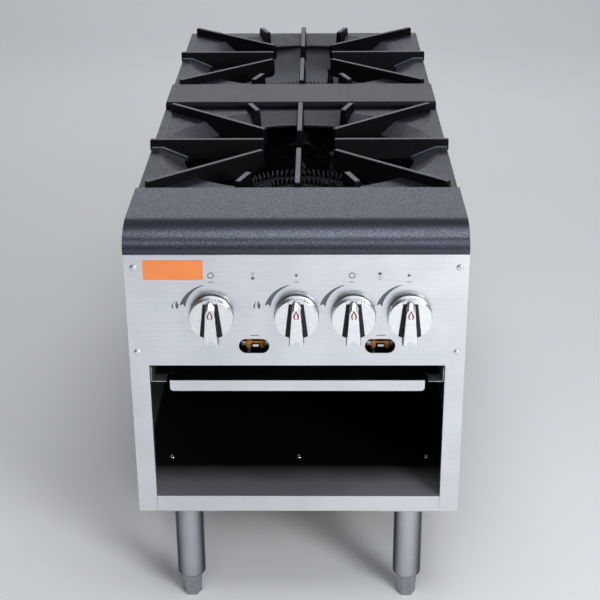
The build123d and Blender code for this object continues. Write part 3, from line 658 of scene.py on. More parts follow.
def close(piece: bpy.types.Object) -> bpy.types.Object:
    """Merges doubles, turns the faces outwards and leaves edit mode."""
    edit(piece)
    bpy.ops.mesh.remove_doubles(threshold=0.01 * MM)
    bpy.ops.mesh.normals_make_consistent(inside=False)
    bpy.ops.object.mode_set(mode="OBJECT")
    return piece


def block(low: Spot, high: Spot) -> bpy.types.Object:
    """A box between two corners.

    Args:
        low: Lowest corner, mm.
        high: Highest corner, mm.

    Returns:
        The piece, its place in its mesh.
    """
    deselect()
    centre = [(a + b) / 2 * MM for a, b in zip(low, high)]
    bpy.ops.mesh.primitive_cube_add(size=1.0, location=centre)
    piece = bpy.context.object
    piece.scale = [(b - a) * MM for a, b in zip(low, high)]
    bpy.ops.object.transform_apply(location=True, rotation=True, scale=True)
    return piece


def closed_line(points: Sequence[Spot], fill: str = "NOTHING") -> bpy.types.Object:
    """A closed line through points.

    Args:
        points: Its corners, mm.
        fill: "NGON" for a face inside the line.

    Returns:
        The line or the face.
    """
    deselect()
    bpy.ops.mesh.primitive_circle_add(vertices=len(points), fill_type=fill)
    piece = bpy.context.object
    for vertex, point in zip(piece.data.vertices, points):
        vertex.co = Vector(point) * MM
    return piece


def push(depth: Spot) -> None:
    """Pushes the selected faces out by a distance in mm, with walls round them."""
    bpy.ops.mesh.extrude_region_move(TRANSFORM_OT_translate={"value": Vector(depth) * MM})


def slab(points: Sequence[Spot], depth: Spot) -> bpy.types.Object:
    """A flat outline pushed out to a prism.

    Args:
        points: Corners of the outline, mm.
        depth: How far it is pushed, mm.

    Returns:
        The closed prism.
    """
    piece = closed_line(points, "NGON")
    edit(piece)
    push(depth)
    return close(piece)


def lathe(
    profile: Sequence[Point], centre: Spot, axis: Spot = (0, 0, 1), steps: int = 48
) -> bpy.types.Object:
    """A profile spun round an axis.

    Args:
        profile: Radius and height of each point, from one end of the axis to the other, mm.
        centre: Point on the axis from which heights count, mm.
        axis: Its direction.
        steps: Faces round it.

    Returns:
        The closed solid.
    """
    along = Vector(axis).normalized()
    across = along.orthogonal().normalized()
    middle = Vector(centre)
    piece = closed_line([middle + across * radius + along * height for radius, height in profile])
    mesh = bmesh.new()
    mesh.from_mesh(piece.data)
    mesh.edges.ensure_lookup_table()
    last = len(profile) - 1
    closing = [e for e in mesh.edges if {v.index for v in e.verts} == {0, last}]
    if profile[0] != profile[-1] and len(profile) > 2:
        bmesh.ops.delete(mesh, geom=closing, context="EDGES_FACES")
    mesh.to_mesh(piece.data)
    mesh.free()
    edit(piece)
    bpy.ops.mesh.spin(steps=steps, angle=2 * math.pi, center=middle * MM, axis=along)
    return close(piece)


def arc(middle: Point, radius: float, start: float, end: float, steps: int) -> list[Point]:
    """Points of a flat arc.

    Args:
        middle: Its centre.
        radius: Its radius.
        start: Angle of its first point, radians.
        end: Angle of its last point, radians.
        steps: Pieces between them.

    Returns:
        One point more than there are pieces.
    """
    turns = [start + (end - start) * k / steps for k in range(steps + 1)]
    return [(middle[0] + radius * math.cos(t), middle[1] + radius * math.sin(t)) for t in turns]


def rounded(points: Sequence[Point], radii: Sequence[float], steps: int = 5) -> list[Point]:
    """Rounds the corners of a flat outline.

    Args:
        points: Its corners.
        radii: Radius at each corner, 0 for a sharp one.
        steps: Pieces of each arc.

    Returns:
        The rounded outline's points.
    """
    done: list[Point] = []
    count = len(points)
    for i, (corner, radius) in enumerate(zip(points, radii)):
        here = Vector(corner)
        if radius <= 0:
            done.append(corner)
            continue
        before = (Vector(points[i - 1]) - here).normalized()
        after = (Vector(points[(i + 1) % count]) - here).normalized()
        half_angle = before.angle(after) / 2
        reach = radius / math.tan(half_angle)
        middle = here + (before + after).normalized() * radius / math.sin(half_angle)
        start = here + before * reach - middle
        end = here + after * reach - middle
        turn = math.atan2(start.x * end.y - start.y * end.x, start.dot(end))
        for k in range(steps + 1):
            spoke = Matrix.Rotation(turn * k / steps, 2) @ start
            done.append(tuple(middle + spoke))
    return done


def soften(
    piece: bpy.types.Object, width: float, segments: int = 2, angle: float = 35.0
) -> bpy.types.Object:
    """Rounds a piece's edges and shades it.

    Args:
        piece: The piece.
        width: Width of the rounding, mm.
        segments: Faces across it.
        angle: Smallest angle of an edge that is rounded, degrees.

    Returns:
        The same piece.
    """
    rounding = piece.modifiers.new("rounded edges", "BEVEL")
    rounding.width = width * MM
    rounding.segments = segments
    rounding.limit_method = "ANGLE"
    rounding.angle_limit = math.radians(angle)
    activate(piece)
    bpy.ops.object.modifier_apply(modifier=rounding.name)
    bpy.ops.object.shade_smooth_by_angle(angle=math.radians(angle))
    even = piece.modifiers.new("even shading", "WEIGHTED_NORMAL")
    even.keep_sharp = True
    bpy.ops.object.modifier_apply(modifier=even.name)
    return piece


def smooth(piece: bpy.types.Object, angle: float = 35.0) -> bpy.types.Object:
    """Shades a piece smooth, except across its sharp edges."""
    activate(piece)
    bpy.ops.object.shade_smooth_by_angle(angle=math.radians(angle))
    return piece


def join(pieces: Sequence[bpy.types.Object]) -> bpy.types.Object:
    """Joins pieces into the first of them."""
    deselect()
    for piece in pieces:
        piece.select_set(True)
    bpy.context.view_layer.objects.active = pieces[0]
    if len(pieces) > 1:
        bpy.ops.object.join()
    return pieces[0]


def paint(piece: bpy.types.Object, material: bpy.types.Material) -> bpy.types.Object:
    """Gives a whole piece one material."""
    piece.data.materials.clear()
    piece.data.materials.append(material)
    return piece


def dress_faces(
    piece: bpy.types.Object,
    material: bpy.types.Material,
    chosen: Callable[[bpy.types.MeshPolygon], bool],
) -> bpy.types.Object:
    """Gives some faces of a painted piece another material.

    Args:
        piece: The piece.
        material: The other material.
        chosen: Tells whether a face gets it.

    Returns:
        The same piece.
    """
    piece.data.materials.append(material)
    for face in piece.data.polygons:
        if chosen(face):
            face.material_index = len(piece.data.materials) - 1
    return piece


def loft(loops: Sequence[Sequence[Spot]]) -> bpy.types.Object:
    """Closed loops bridged one after another, the last to the first.

    Args:
        loops: Points of each loop, mm, all with the same count.

    Returns:
        The closed ring-shaped solid.
    """
    piece = join([closed_line(points) for points in loops])
    count = len(loops[0])
    for number in range(len(loops)):
        pair = {number, (number + 1) % len(loops)}
        deselect()
        for vertex in piece.data.vertices:
            vertex.select = vertex.index // count in pair
        for edge in piece.data.edges:
            first, second = (v // count for v in edge.vertices)
            edge.select = first == second and first in pair
        for face in piece.data.polygons:
            face.select = False
        piece.select_set(True)
        bpy.context.view_layer.objects.active = piece
        bpy.ops.object.mode_set(mode="EDIT")
        bpy.ops.mesh.select_mode(type="EDGE")
        bpy.ops.mesh.bridge_edge_loops()
        bpy.ops.mesh.select_mode(type="VERT")
        bpy.ops.object.mode_set(mode="OBJECT")
    return close(piece)


def twin(piece: bpy.types.Object, move: Matrix) -> bpy.types.Object:
    """A copy of a piece with its own mesh.

    Args:
        piece: The piece.
        move: Where the copy goes, from the piece's own place, metres.

    Returns:
        The copy.
    """
    copy = piece.copy()
    copy.data = piece.data.copy()
    bpy.context.scene.collection.objects.link(copy)
    copy.data.transform(move)
    if move.determinant() < 0:
        copy.data.flip_normals()
    return copy


def hand_over(
    piece: bpy.types.Object, name: str, body: str, replaces: Sequence[str] = ()
) -> None:
    """Names a finished piece and puts it on its body.

    Args:
        piece: The piece, painted.
        name: Its name.
        body: The body that it rides on.
        replaces: CAD nodes that it stands for.
    """
    piece.name = name
    piece.data.name = name
    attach(piece, body)
    if replaces:
        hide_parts(*replaces)
    LOG.info("%s: %d faces on %s", name, len(piece.data.polygons), body)


def folded_copy(node: str) -> bpy.types.Object:
    """A merged copy of a CAD node, with flat faces in one piece."""
    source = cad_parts[node]
    piece = bpy.data.objects.new(node, source.data.copy())
    bpy.context.scene.collection.objects.link(piece)
    edit(piece)
    bpy.ops.mesh.remove_doubles(threshold=0.002 * MM)
    bpy.ops.mesh.dissolve_limited(angle_limit=math.radians(1.0))
    bpy.ops.object.mode_set(mode="OBJECT")
    return piece


def keep_shape(
    node: str, edge: float, material: bpy.types.Material, segments: int = 2
) -> bpy.types.Object:
    """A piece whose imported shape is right: merged, with rounded edges and its finish.

    Args:
        node: The CAD node.
        edge: Width of the rounding of its edges, mm.
        material: Its finish.
        segments: Faces across the rounding.

    Returns:
        The piece, not yet handed over.
    """
    return paint(soften(folded_copy(node), edge, segments), material)


def stand_in(
    piece: bpy.types.Object, node: str, ending: str, body: str = "range"
) -> None:
    """Hands a piece over in place of one CAD node and names it after that node.

    Args:
        piece: The piece, painted.
        node: The CAD node.
        ending: What the piece's name adds to the node's.
        body: The body that it rides on.
    """
    hand_over(piece, f"{node}_{ending}", body, [node])


def dress_node(node: str, material: bpy.types.Material) -> None:
    """Gives a CAD node that stays its finish."""
    paint(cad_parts[node], material)
    LOG.info("%s: CAD node, %s", node, material.name)


# ---------------------------------------------------------------- sub-assemblies
@dataclass
class Cabinet:
    """Folded sheet body: panels, floor, channels and partition."""

    fold_round: float = 0.45
    fold_segments: int = 3
    floor_round: float = 1.0
    floor_lip: float = 1.2
    window_reach: Point = (22.0, 12.0)
    window_grow: Point = (0.056, 0.142)
    window_shift: Point = (0.9, 0.75)
    # height below which the back panel's inner face is painted black as shade, mm
    painted_shade_line: float = 460.0

    def build(self, finishes: Finishes) -> None:
        """Makes the panels with rounded folds and dresses the rest."""
        stand_in(self.front_panel(finishes), "front_panel", "sheet")
        for side in ("left", "right"):
            node = f"{side}_side_panel"
            panel = keep_shape(node, self.fold_round, finishes.panel, self.fold_segments)
            stand_in(panel, node, "sheet")
        stand_in(self.floor(finishes), "cabinet_floor", "sheet")
        for node in ("back_panel", "upper_back_panel"):
            stand_in(self.back(node, finishes), node, "sheet")
        for node in ("front_base_channel", "rear_base_channel"):
            dress_node(node, finishes.sheet)
        # the partition and the burner rests take the near-black sheet of painted shade
        for node in ("middle_partition", "front_burner_rests", "rear_burner_rests"):
            dress_node(node, finishes.painted_shade_sheet)

    def front_panel(self, finishes: Finishes) -> bpy.types.Object:
        """The front panel, its two windows grown a little, most at their lower left."""
        sheet = folded_copy("front_panel")
        for vertex in sheet.data.vertices:
            for x in WINDOW_XS:
                across, up = vertex.co.x / MM - x, vertex.co.z / MM - WINDOW_Z
                if abs(across) < self.window_reach[0] and abs(up) < self.window_reach[1]:
                    vertex.co.x += (across * self.window_grow[0] - self.window_shift[0]) * MM
                    vertex.co.z += (up * self.window_grow[1] - self.window_shift[1]) * MM
                    break
        return paint(soften(sheet, self.fold_round, self.fold_segments), finishes.panel)

    def floor(self, finishes: Finishes) -> bpy.types.Object:
        """The cabinet floor, bright on its front lip."""
        piece = keep_shape("cabinet_floor", self.floor_round, finishes.floor, self.fold_segments)
        lip = (PANEL_Y + self.floor_lip) * MM
        return dress_faces(piece, finishes.panel, lambda face: face.center.y < lip)

    def back(self, node: str, finishes: Finishes) -> bpy.types.Object:
        """A back panel: pale on its inner face as painted light, and painted black as shade below the
        burners.
        """
        sheet = folded_copy(node)
        line = self.painted_shade_line * MM
        painted_shade_below = node == "back_panel"
        if painted_shade_below:
            edit(sheet)
            bpy.ops.mesh.bisect(plane_co=(0, 0, line), plane_no=(0, 0, 1))
            bpy.ops.object.mode_set(mode="OBJECT")
        piece = paint(soften(sheet, self.fold_round, self.fold_segments), finishes.sheet)
        # inner face: pale sheet as painted light; below the line, near-black sheet as painted shade
        dress_faces(piece, finishes.inside, lambda face: face.normal.y < -0.5)
        if painted_shade_below:
            dress_faces(
                piece,
                finishes.painted_shade_sheet,
                lambda face: face.normal.y < -0.5 and face.center.z < line,
            )
        return piece


@dataclass
class PanelMarks:
    """Printed marks on the front panel: heat wedges, flames, rings, dots and burner signs."""

    ink_t: float = 0.06
    lift: float = 0.01
    wedge_out: float = 44.5
    wedge_in: float = 36.5
    wedge_tip: float = 0.7
    wedge_start: float = 102.0
    wedge_end: float = 163.0
    wedge_notch: float = 5.0
    wedge_steps: int = 24
    sign_z: float = 531.7
    ring_x: float = 0.5
    ring_r: float = 4.4
    ring_line: float = 1.3
    dot_r: float = 2.0
    knob_bar: Point = (7.0, 1.0)
    knob_bar_drop: float = 9.5
    window_bar: Point = (12.0, 1.1)
    window_bar_rise: float = 15.5
    print_xs: tuple[float, ...] = (-114.3, 0.0, 73.6, 149.4)
    flame_spots: tuple[Point, ...] = ((-162.8, 488.5), (-52.8, 488.5))
    flame_foot: float = 6.5
    flame_swing: float = 3.2
    flame_tip: float = 0.8
    # side, half height, shift and inner fullness of the flame's two tongues
    tongues: tuple[tuple[int, float, float, float], ...] = ((-1, 5.6, -2.4, 0.35), (1, 6.6, 2.0, -0.5))
    burner_spots: tuple[Point, ...] = ((-57.9, 531.0), (111.0, 531.0))
    burner_gap: float = 6.4
    burner_r: float = 2.3
    burner_line: float = 0.6
    round_steps: int = 20

    def build(self, finishes: Finishes) -> None:
        """Prints every mark."""
        marks = []
        for number, x in enumerate(self.print_xs):
            marks.append(self.wedge(x))
            if number % 2 == 0:
                marks.append(self.ring(x + self.ring_x, self.sign_z, self.ring_r, self.ring_line))
            else:
                marks.append(self.disc(x, self.sign_z, self.dot_r))
            marks.append(self.bar(x, self.sign_z - self.knob_bar_drop, self.knob_bar))
        for x, z in self.flame_spots:
            marks.extend(self.flame(x, z))
        for filled, (x, z) in enumerate(self.burner_spots):
            marks.extend(self.burner_sign(x, z, filled))
        for x in WINDOW_XS:
            marks.append(self.bar(x, WINDOW_Z + self.window_bar_rise, self.window_bar))
        hand_over(paint(join(marks), finishes.ink), "panel_print", "range")

    def flat(self, points: Sequence[Point]) -> bpy.types.Object:
        """A printed patch from its outline on the panel."""
        return slab([(x, PANEL_Y - self.lift, z) for x, z in points], (0, -self.ink_t, 0))

    def disc(self, x: float, z: float, radius: float) -> bpy.types.Object:
        """A printed dot."""
        return self.flat(arc((x, z), radius, 0, 2 * math.pi, self.round_steps)[:-1])

    def bar(self, x: float, z: float, size: Point) -> bpy.types.Object:
        """A short level bar that stands for words."""
        w, h = size[0] / 2, size[1] / 2
        return self.flat([(x - w, z - h), (x + w, z - h), (x + w, z + h), (x - w, z + h)])

    def band(self, outer: Sequence[Point], inner: Sequence[Point]) -> bpy.types.Object:
        """A patch between two lines that run the same way."""
        return self.flat([*outer, *reversed(inner)])

    def ring(self, x: float, z: float, radius: float, line: float) -> bpy.types.Object:
        """A printed ring, in two halves."""
        halves = []
        for start in (0, math.pi):
            outer, inner = (
                arc((x, z), r, start, start + math.pi, 16) for r in (radius, radius - line)
            )
            halves.append(self.band(outer, inner))
        return join(halves)

    def wedge(self, x: float) -> bpy.types.Object:
        """The heat scale left of a knob: an arc that widens to a notched end."""
        start, end = math.radians(self.wedge_start), math.radians(self.wedge_end)
        outer = arc((x, KNOB_Z), self.wedge_out, start, end, self.wedge_steps)
        inner = []
        thin = self.wedge_out - self.wedge_tip
        for k in range(self.wedge_steps + 1):
            share = k / self.wedge_steps
            near = thin - (thin - self.wedge_in) * share
            turn = start + (end - start) * share
            inner.append((x + near * math.cos(turn), KNOB_Z + near * math.sin(turn)))
        notch_turn = math.radians(self.wedge_end - self.wedge_notch)
        notch_r = (self.wedge_out + self.wedge_in) / 2
        notch = (x + notch_r * math.cos(notch_turn), KNOB_Z + notch_r * math.sin(notch_turn))
        return self.flat([*outer, notch, *reversed(inner)])

    def flame(self, x: float, z: float) -> list[bpy.types.Object]:
        """A plain flame: two curved tongues."""
        made = []
        for side, tall, shift, full in self.tongues:
            outer, inner = [], []
            # each tongue bulges over most of its height and swings back at its tip
            for k in range(13):
                share = k / 12
                height = z - self.flame_foot + 2 * tall * share
                belly = math.sin(math.pi * min(share * 1.15, 1.0))
                swing = side * self.flame_swing * belly * (1 - 0.4 * share)
                tip = side * self.flame_tip * share
                outer.append((x + shift + swing, height))
                inner.append((x + shift + swing * full - tip, height))
            made.append(self.band(outer, inner))
        return made

    def burner_sign(self, x: float, z: float, filled: int) -> list[bpy.types.Object]:
        """Two small rings, one above the other, with the burner that is meant filled in."""
        made = []
        for place in (0, 1):
            at = z + self.burner_gap * (place - 0.5)
            if place == filled:
                made.append(self.disc(x, at, self.burner_r))
            else:
                made.append(self.ring(x, at, self.burner_r, self.burner_line))
        return made


@dataclass
class Badge:
    """A bare enamelled plate at the panel's upper left."""

    corner: float = 2.0
    bevel: float = 0.15
    rise: float = 0.25
    rim: float = 1.2
    slope: float = 0.3
    sink: float = 0.15

    def build(self, finishes: Finishes) -> None:
        """Makes the plate with a slightly raised rim."""
        low, high = [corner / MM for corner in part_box("badge_plate")]
        corners = [(low.x, low.z), (high.x, low.z), (high.x, high.z), (low.x, high.z)]
        outline = rounded(corners, [self.corner] * 4)
        plate = slab([(x, high.y, z) for x, z in outline], (0, low.y - high.y + self.rise, 0))
        pick(plate, lambda face: face.normal.y < -0.9)
        bpy.ops.mesh.inset(thickness=self.bevel * MM)
        push((0, -self.rise, 0))
        bpy.ops.mesh.inset(thickness=self.rim * MM)
        bpy.ops.mesh.inset(thickness=self.slope * MM)
        bpy.ops.transform.translate(value=(0, self.sink * MM, 0))
        plate = paint(smooth(close(plate), 25), finishes.badge)
        hand_over(plate, "badge", "range", ["badge_plate"])


@dataclass
class Deck:
    """Front deck with its sloped crown and round nose, and the band between the grates.

    The crown is an arc that starts level behind the panel, and the nose an arc that goes on from
    it down to the hem.
    """

    overhang: float = 21.0
    underside: float = 569.4
    seat: float = 588.0
    top: float = 605.6
    crown_start: float = 24.0
    crown_r: float = 60.0
    crown_turn: float = 35.0
    panel_gap: float = 0.3
    lip_in: float = 0.3
    lip_round: float = 3.0
    end_round: float = 2.4
    half: float = 226.2
    band_round: float = 7.0
    hem: float = 4.0
    groove: float = 0.9

    def build(self, finishes: Finishes) -> None:
        """Makes the deck and the band."""
        deck = paint(self.along(self.deck_profile()), finishes.deck)
        hand_over(deck, "deck_casting", "range", ["front_deck"])
        band = paint(self.along(self.band_profile()), finishes.band)
        # painted shade: the band's front faces take the near-black arm enamel
        dress_faces(band, finishes.arm, lambda face: face.normal.y < -0.3)
        stand_in(band, "middle_band", "casting")

    def along(self, profile: Sequence[Point]) -> bpy.types.Object:
        """A side profile drawn out over the range's width, with rounded ends."""
        piece = slab([(-self.half, y, z) for y, z in profile], (2 * self.half, 0, 0))
        return soften(piece, self.end_round, 3, 50)

    def deck_profile(self) -> list[Point]:
        """Side outline of the deck: rear edge, crown, nose, grooved hem and lip."""
        front = PANEL_Y - self.overhang
        start = PANEL_Y + self.crown_start
        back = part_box("front_deck")[1].y / MM
        turn = math.radians(self.crown_turn)
        end_y = start - self.crown_r * math.sin(turn)
        end_z = self.top - self.crown_r * (1 - math.cos(turn))
        nose_r = (end_y - front) / (1 - math.sin(turn))
        nose_z = end_z - nose_r * math.cos(turn)
        crown_middle = (start, self.top - self.crown_r)
        nose_middle = (front + nose_r, nose_z)
        lip_middle = (front + self.lip_in + self.lip_round, self.underside + self.lip_round)
        hem_top = self.underside + self.hem
        inner = PANEL_Y - self.panel_gap
        quarter = math.pi / 2
        return [
            (back, self.seat),
            (back, self.top),
            *arc(crown_middle, self.crown_r, quarter, quarter + turn, 10),
            *arc(nose_middle, nose_r, quarter + turn, math.pi, 12)[1:],
            (front + self.groove, hem_top + self.groove),
            (front + self.groove, hem_top),
            *arc(lip_middle, self.lip_round, math.pi, math.pi + quarter, 4),
            (inner, self.underside),
            (inner, self.seat),
        ]

    def band_profile(self) -> list[Point]:
        """Side outline of the band, with its rounded front."""
        low, high = [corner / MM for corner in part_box("middle_band")]
        corners = [(low.y, self.seat), (low.y, self.top), (high.y, self.top), (high.y, self.seat)]
        return rounded(corners, [0, self.band_round, 0, 0], 8)


@dataclass
class Grate:
    """A cast top grate: plate with a bowl, two foot ribs and twelve tapered arms."""

    place: str
    depth: float = 392.0
    plate_half: float = 226.2
    plate_low: float = 588.3
    plate_top: float = 596.0
    plate_round: float = 1.2
    top: float = 609.6
    arm_low: float = 577.6
    arm_top_t: float = 8.2
    arm_foot_t: float = 12.4
    arm_tip_round: float = 2.5
    arm_foot_round: float = 9.0
    arm_edge_round: float = 1.5
    rim: Point = (213.0, 188.0)
    rim_wall: float = 5.0
    hole: Point = (176.0, 160.0)
    bowl_z: float = 580.0
    bowl_low: float = 575.0
    rib_half: float = 10.0
    rib_top: float = 600.0
    rib_in: float = 170.0
    rib_round: float = 1.8
    round_steps: int = 96
    # outer and inner end of each kind of arm, from the grate's centre
    arms: tuple[tuple[Point, Point], ...] = (
        ((228.6, 0.0), (54.0, 0.0)),
        ((0.0, 192.0), (0.0, 41.0)),
        ((213.0, 187.0), (54.0, 49.5)),
        ((84.5, 187.0), (69.5, 147.0)),
    )

    @property
    def centre(self) -> float:
        """The grate's centre along Y."""
        return GRATE_CENTRES[self.place]

    def build(self, finishes: Finishes) -> None:
        """Makes the casting and puts it on its body."""
        plate = paint(self.plate(), finishes.plate)
        # painted light: the bowl's sloping faces take the lighter bowl enamel
        dress_faces(plate, finishes.bowl, lambda face: 0.3 < face.normal.z < 0.97)
        ribs = [paint(self.rib(side), finishes.plate) for side in (-1, 1)]
        # painted highlight on the ribs' front upper edges
        for rib in ribs:
            dress_faces(
                rib, finishes.arm_top_highlight, lambda face: face.normal.y < -0.2 and face.normal.z > 0.2
            )
        arms = []
        for ends, sx, sy in product(self.arms, (-1, 1), (-1, 1)):
            across, along = ends[0]
            # an arm on a centre line is its own mirror image and is made once
            if (across == 0 and sx < 0) or (along == 0 and sy < 0):
                continue
            arms.append(self.arm(*[(sx * x, sy * y) for x, y in ends]))
        # painted shade on the arms' near-black sides, painted highlight on their lighter tops
        arm_piece = paint(join(arms), finishes.arm)
        dress_faces(arm_piece, finishes.arm_top_highlight, lambda face: face.normal.z > 0.8)
        node = f"{self.place}_grate"
        stand_in(join([plate, *ribs, arm_piece]), node, "casting", node)

    def ellipse(self, size: Point, z: float) -> list[Spot]:
        """One level loop of the rim or the hole."""
        turns = [2 * math.pi * k / self.round_steps for k in range(self.round_steps)]
        return [(size[0] * math.cos(t), self.centre + size[1] * math.sin(t), z) for t in turns]

    def edge(self, z: float) -> list[Spot]:
        """One level loop of the plate's rectangular edge, with a point on each corner."""
        half_depth = self.depth / 2
        points = []
        for k in range(self.round_steps):
            turn = 2 * math.pi * k / self.round_steps
            c, s = math.cos(turn), math.sin(turn)
            reach = min(self.plate_half / max(abs(c), 1e-6), half_depth / max(abs(s), 1e-6))
            points.append((reach * c, self.centre + reach * s, z))
        for sx, sy in product((-1, 1), (-1, 1)):
            corner_turn = math.atan2(sy * half_depth, sx * self.plate_half)
            index = round(corner_turn / (2 * math.pi) * self.round_steps) % self.round_steps
            points[index] = (sx * self.plate_half, self.centre + sy * half_depth, z)
        return points

    def plate(self) -> bpy.types.Object:
        """The plate and its bowl."""
        under_rim = (self.rim[0] - self.rim_wall, self.rim[1] - self.rim_wall)
        loops = [
            self.edge(self.plate_low),
            self.edge(self.plate_top),
            self.ellipse(self.rim, self.plate_top),
            self.ellipse(self.hole, self.bowl_z),
            self.ellipse(self.hole, self.bowl_low),
            self.ellipse(under_rim, self.plate_low),
        ]
        return soften(loft(loops), self.plate_round, 2, 20)

    def rib(self, side: int) -> bpy.types.Object:
        """The wide low rib under one side arm."""
        rim = self.rim[0] - self.rim_wall
        outline = [
            (self.plate_half, self.rib_top),
            (rim, self.rib_top),
            (self.rib_in, self.bowl_z + self.rib_top - self.plate_top),
            (self.rib_in, self.bowl_low),
            (rim, self.plate_low),
            (self.plate_half, self.plate_low),
        ]
        low = self.centre - self.rib_half
        piece = slab([(side * x, low, z) for x, z in outline], (0, 2 * self.rib_half, 0))
        return soften(piece, self.rib_round, 3, 30)

    def arm(self, outer: Point, inner: Point) -> bpy.types.Object:
        """One arm: level on top, round at its inner foot, wider below than above."""
        run = math.dist(outer, inner)
        along = Vector(((outer[0] - inner[0]) / run, (outer[1] - inner[1]) / run))
        start = Vector(inner).dot(along)
        rim = min(self.reach(along, self.rim) - start, run)
        hole = max(self.reach(along, self.hole) - start, 1.0)
        below = (self.plate_low + self.plate_top) / 2
        corners = [
            (0, self.top),
            (0, self.arm_low),
            (hole, self.arm_low),
            (rim, below),
            (run, below),
            (run, self.top),
        ]
        tip, foot = self.arm_tip_round, min(self.arm_foot_round, hole * 0.45)
        across = Vector((-along.y, along.x, 0))
        half = self.arm_top_t / 2
        points = []
        for s, z in rounded(corners, [tip, foot, 0, 0, 0, tip], 4):
            flat = Vector(inner) + along * s
            points.append((flat.x - across.x * half, self.centre + flat.y - across.y * half, z))
        piece = slab(points, tuple(across * self.arm_top_t))
        spread = (self.arm_foot_t - self.arm_top_t) / 2
        middle = Vector((inner[0], self.centre + inner[1], 0))
        for vertex in piece.data.vertices:
            place = vertex.co / MM
            offset = (place - middle).dot(across)
            share = (self.top - place.z) / (self.top - self.arm_low)
            vertex.co += across * math.copysign(spread * share, offset) * MM
        return soften(piece, self.arm_edge_round, 3, 40)

    def reach(self, along: Vector, size: Point) -> float:
        """Distance from the centre to an ellipse along a direction."""
        return 1 / math.hypot(along.x / size[0], along.y / size[1])


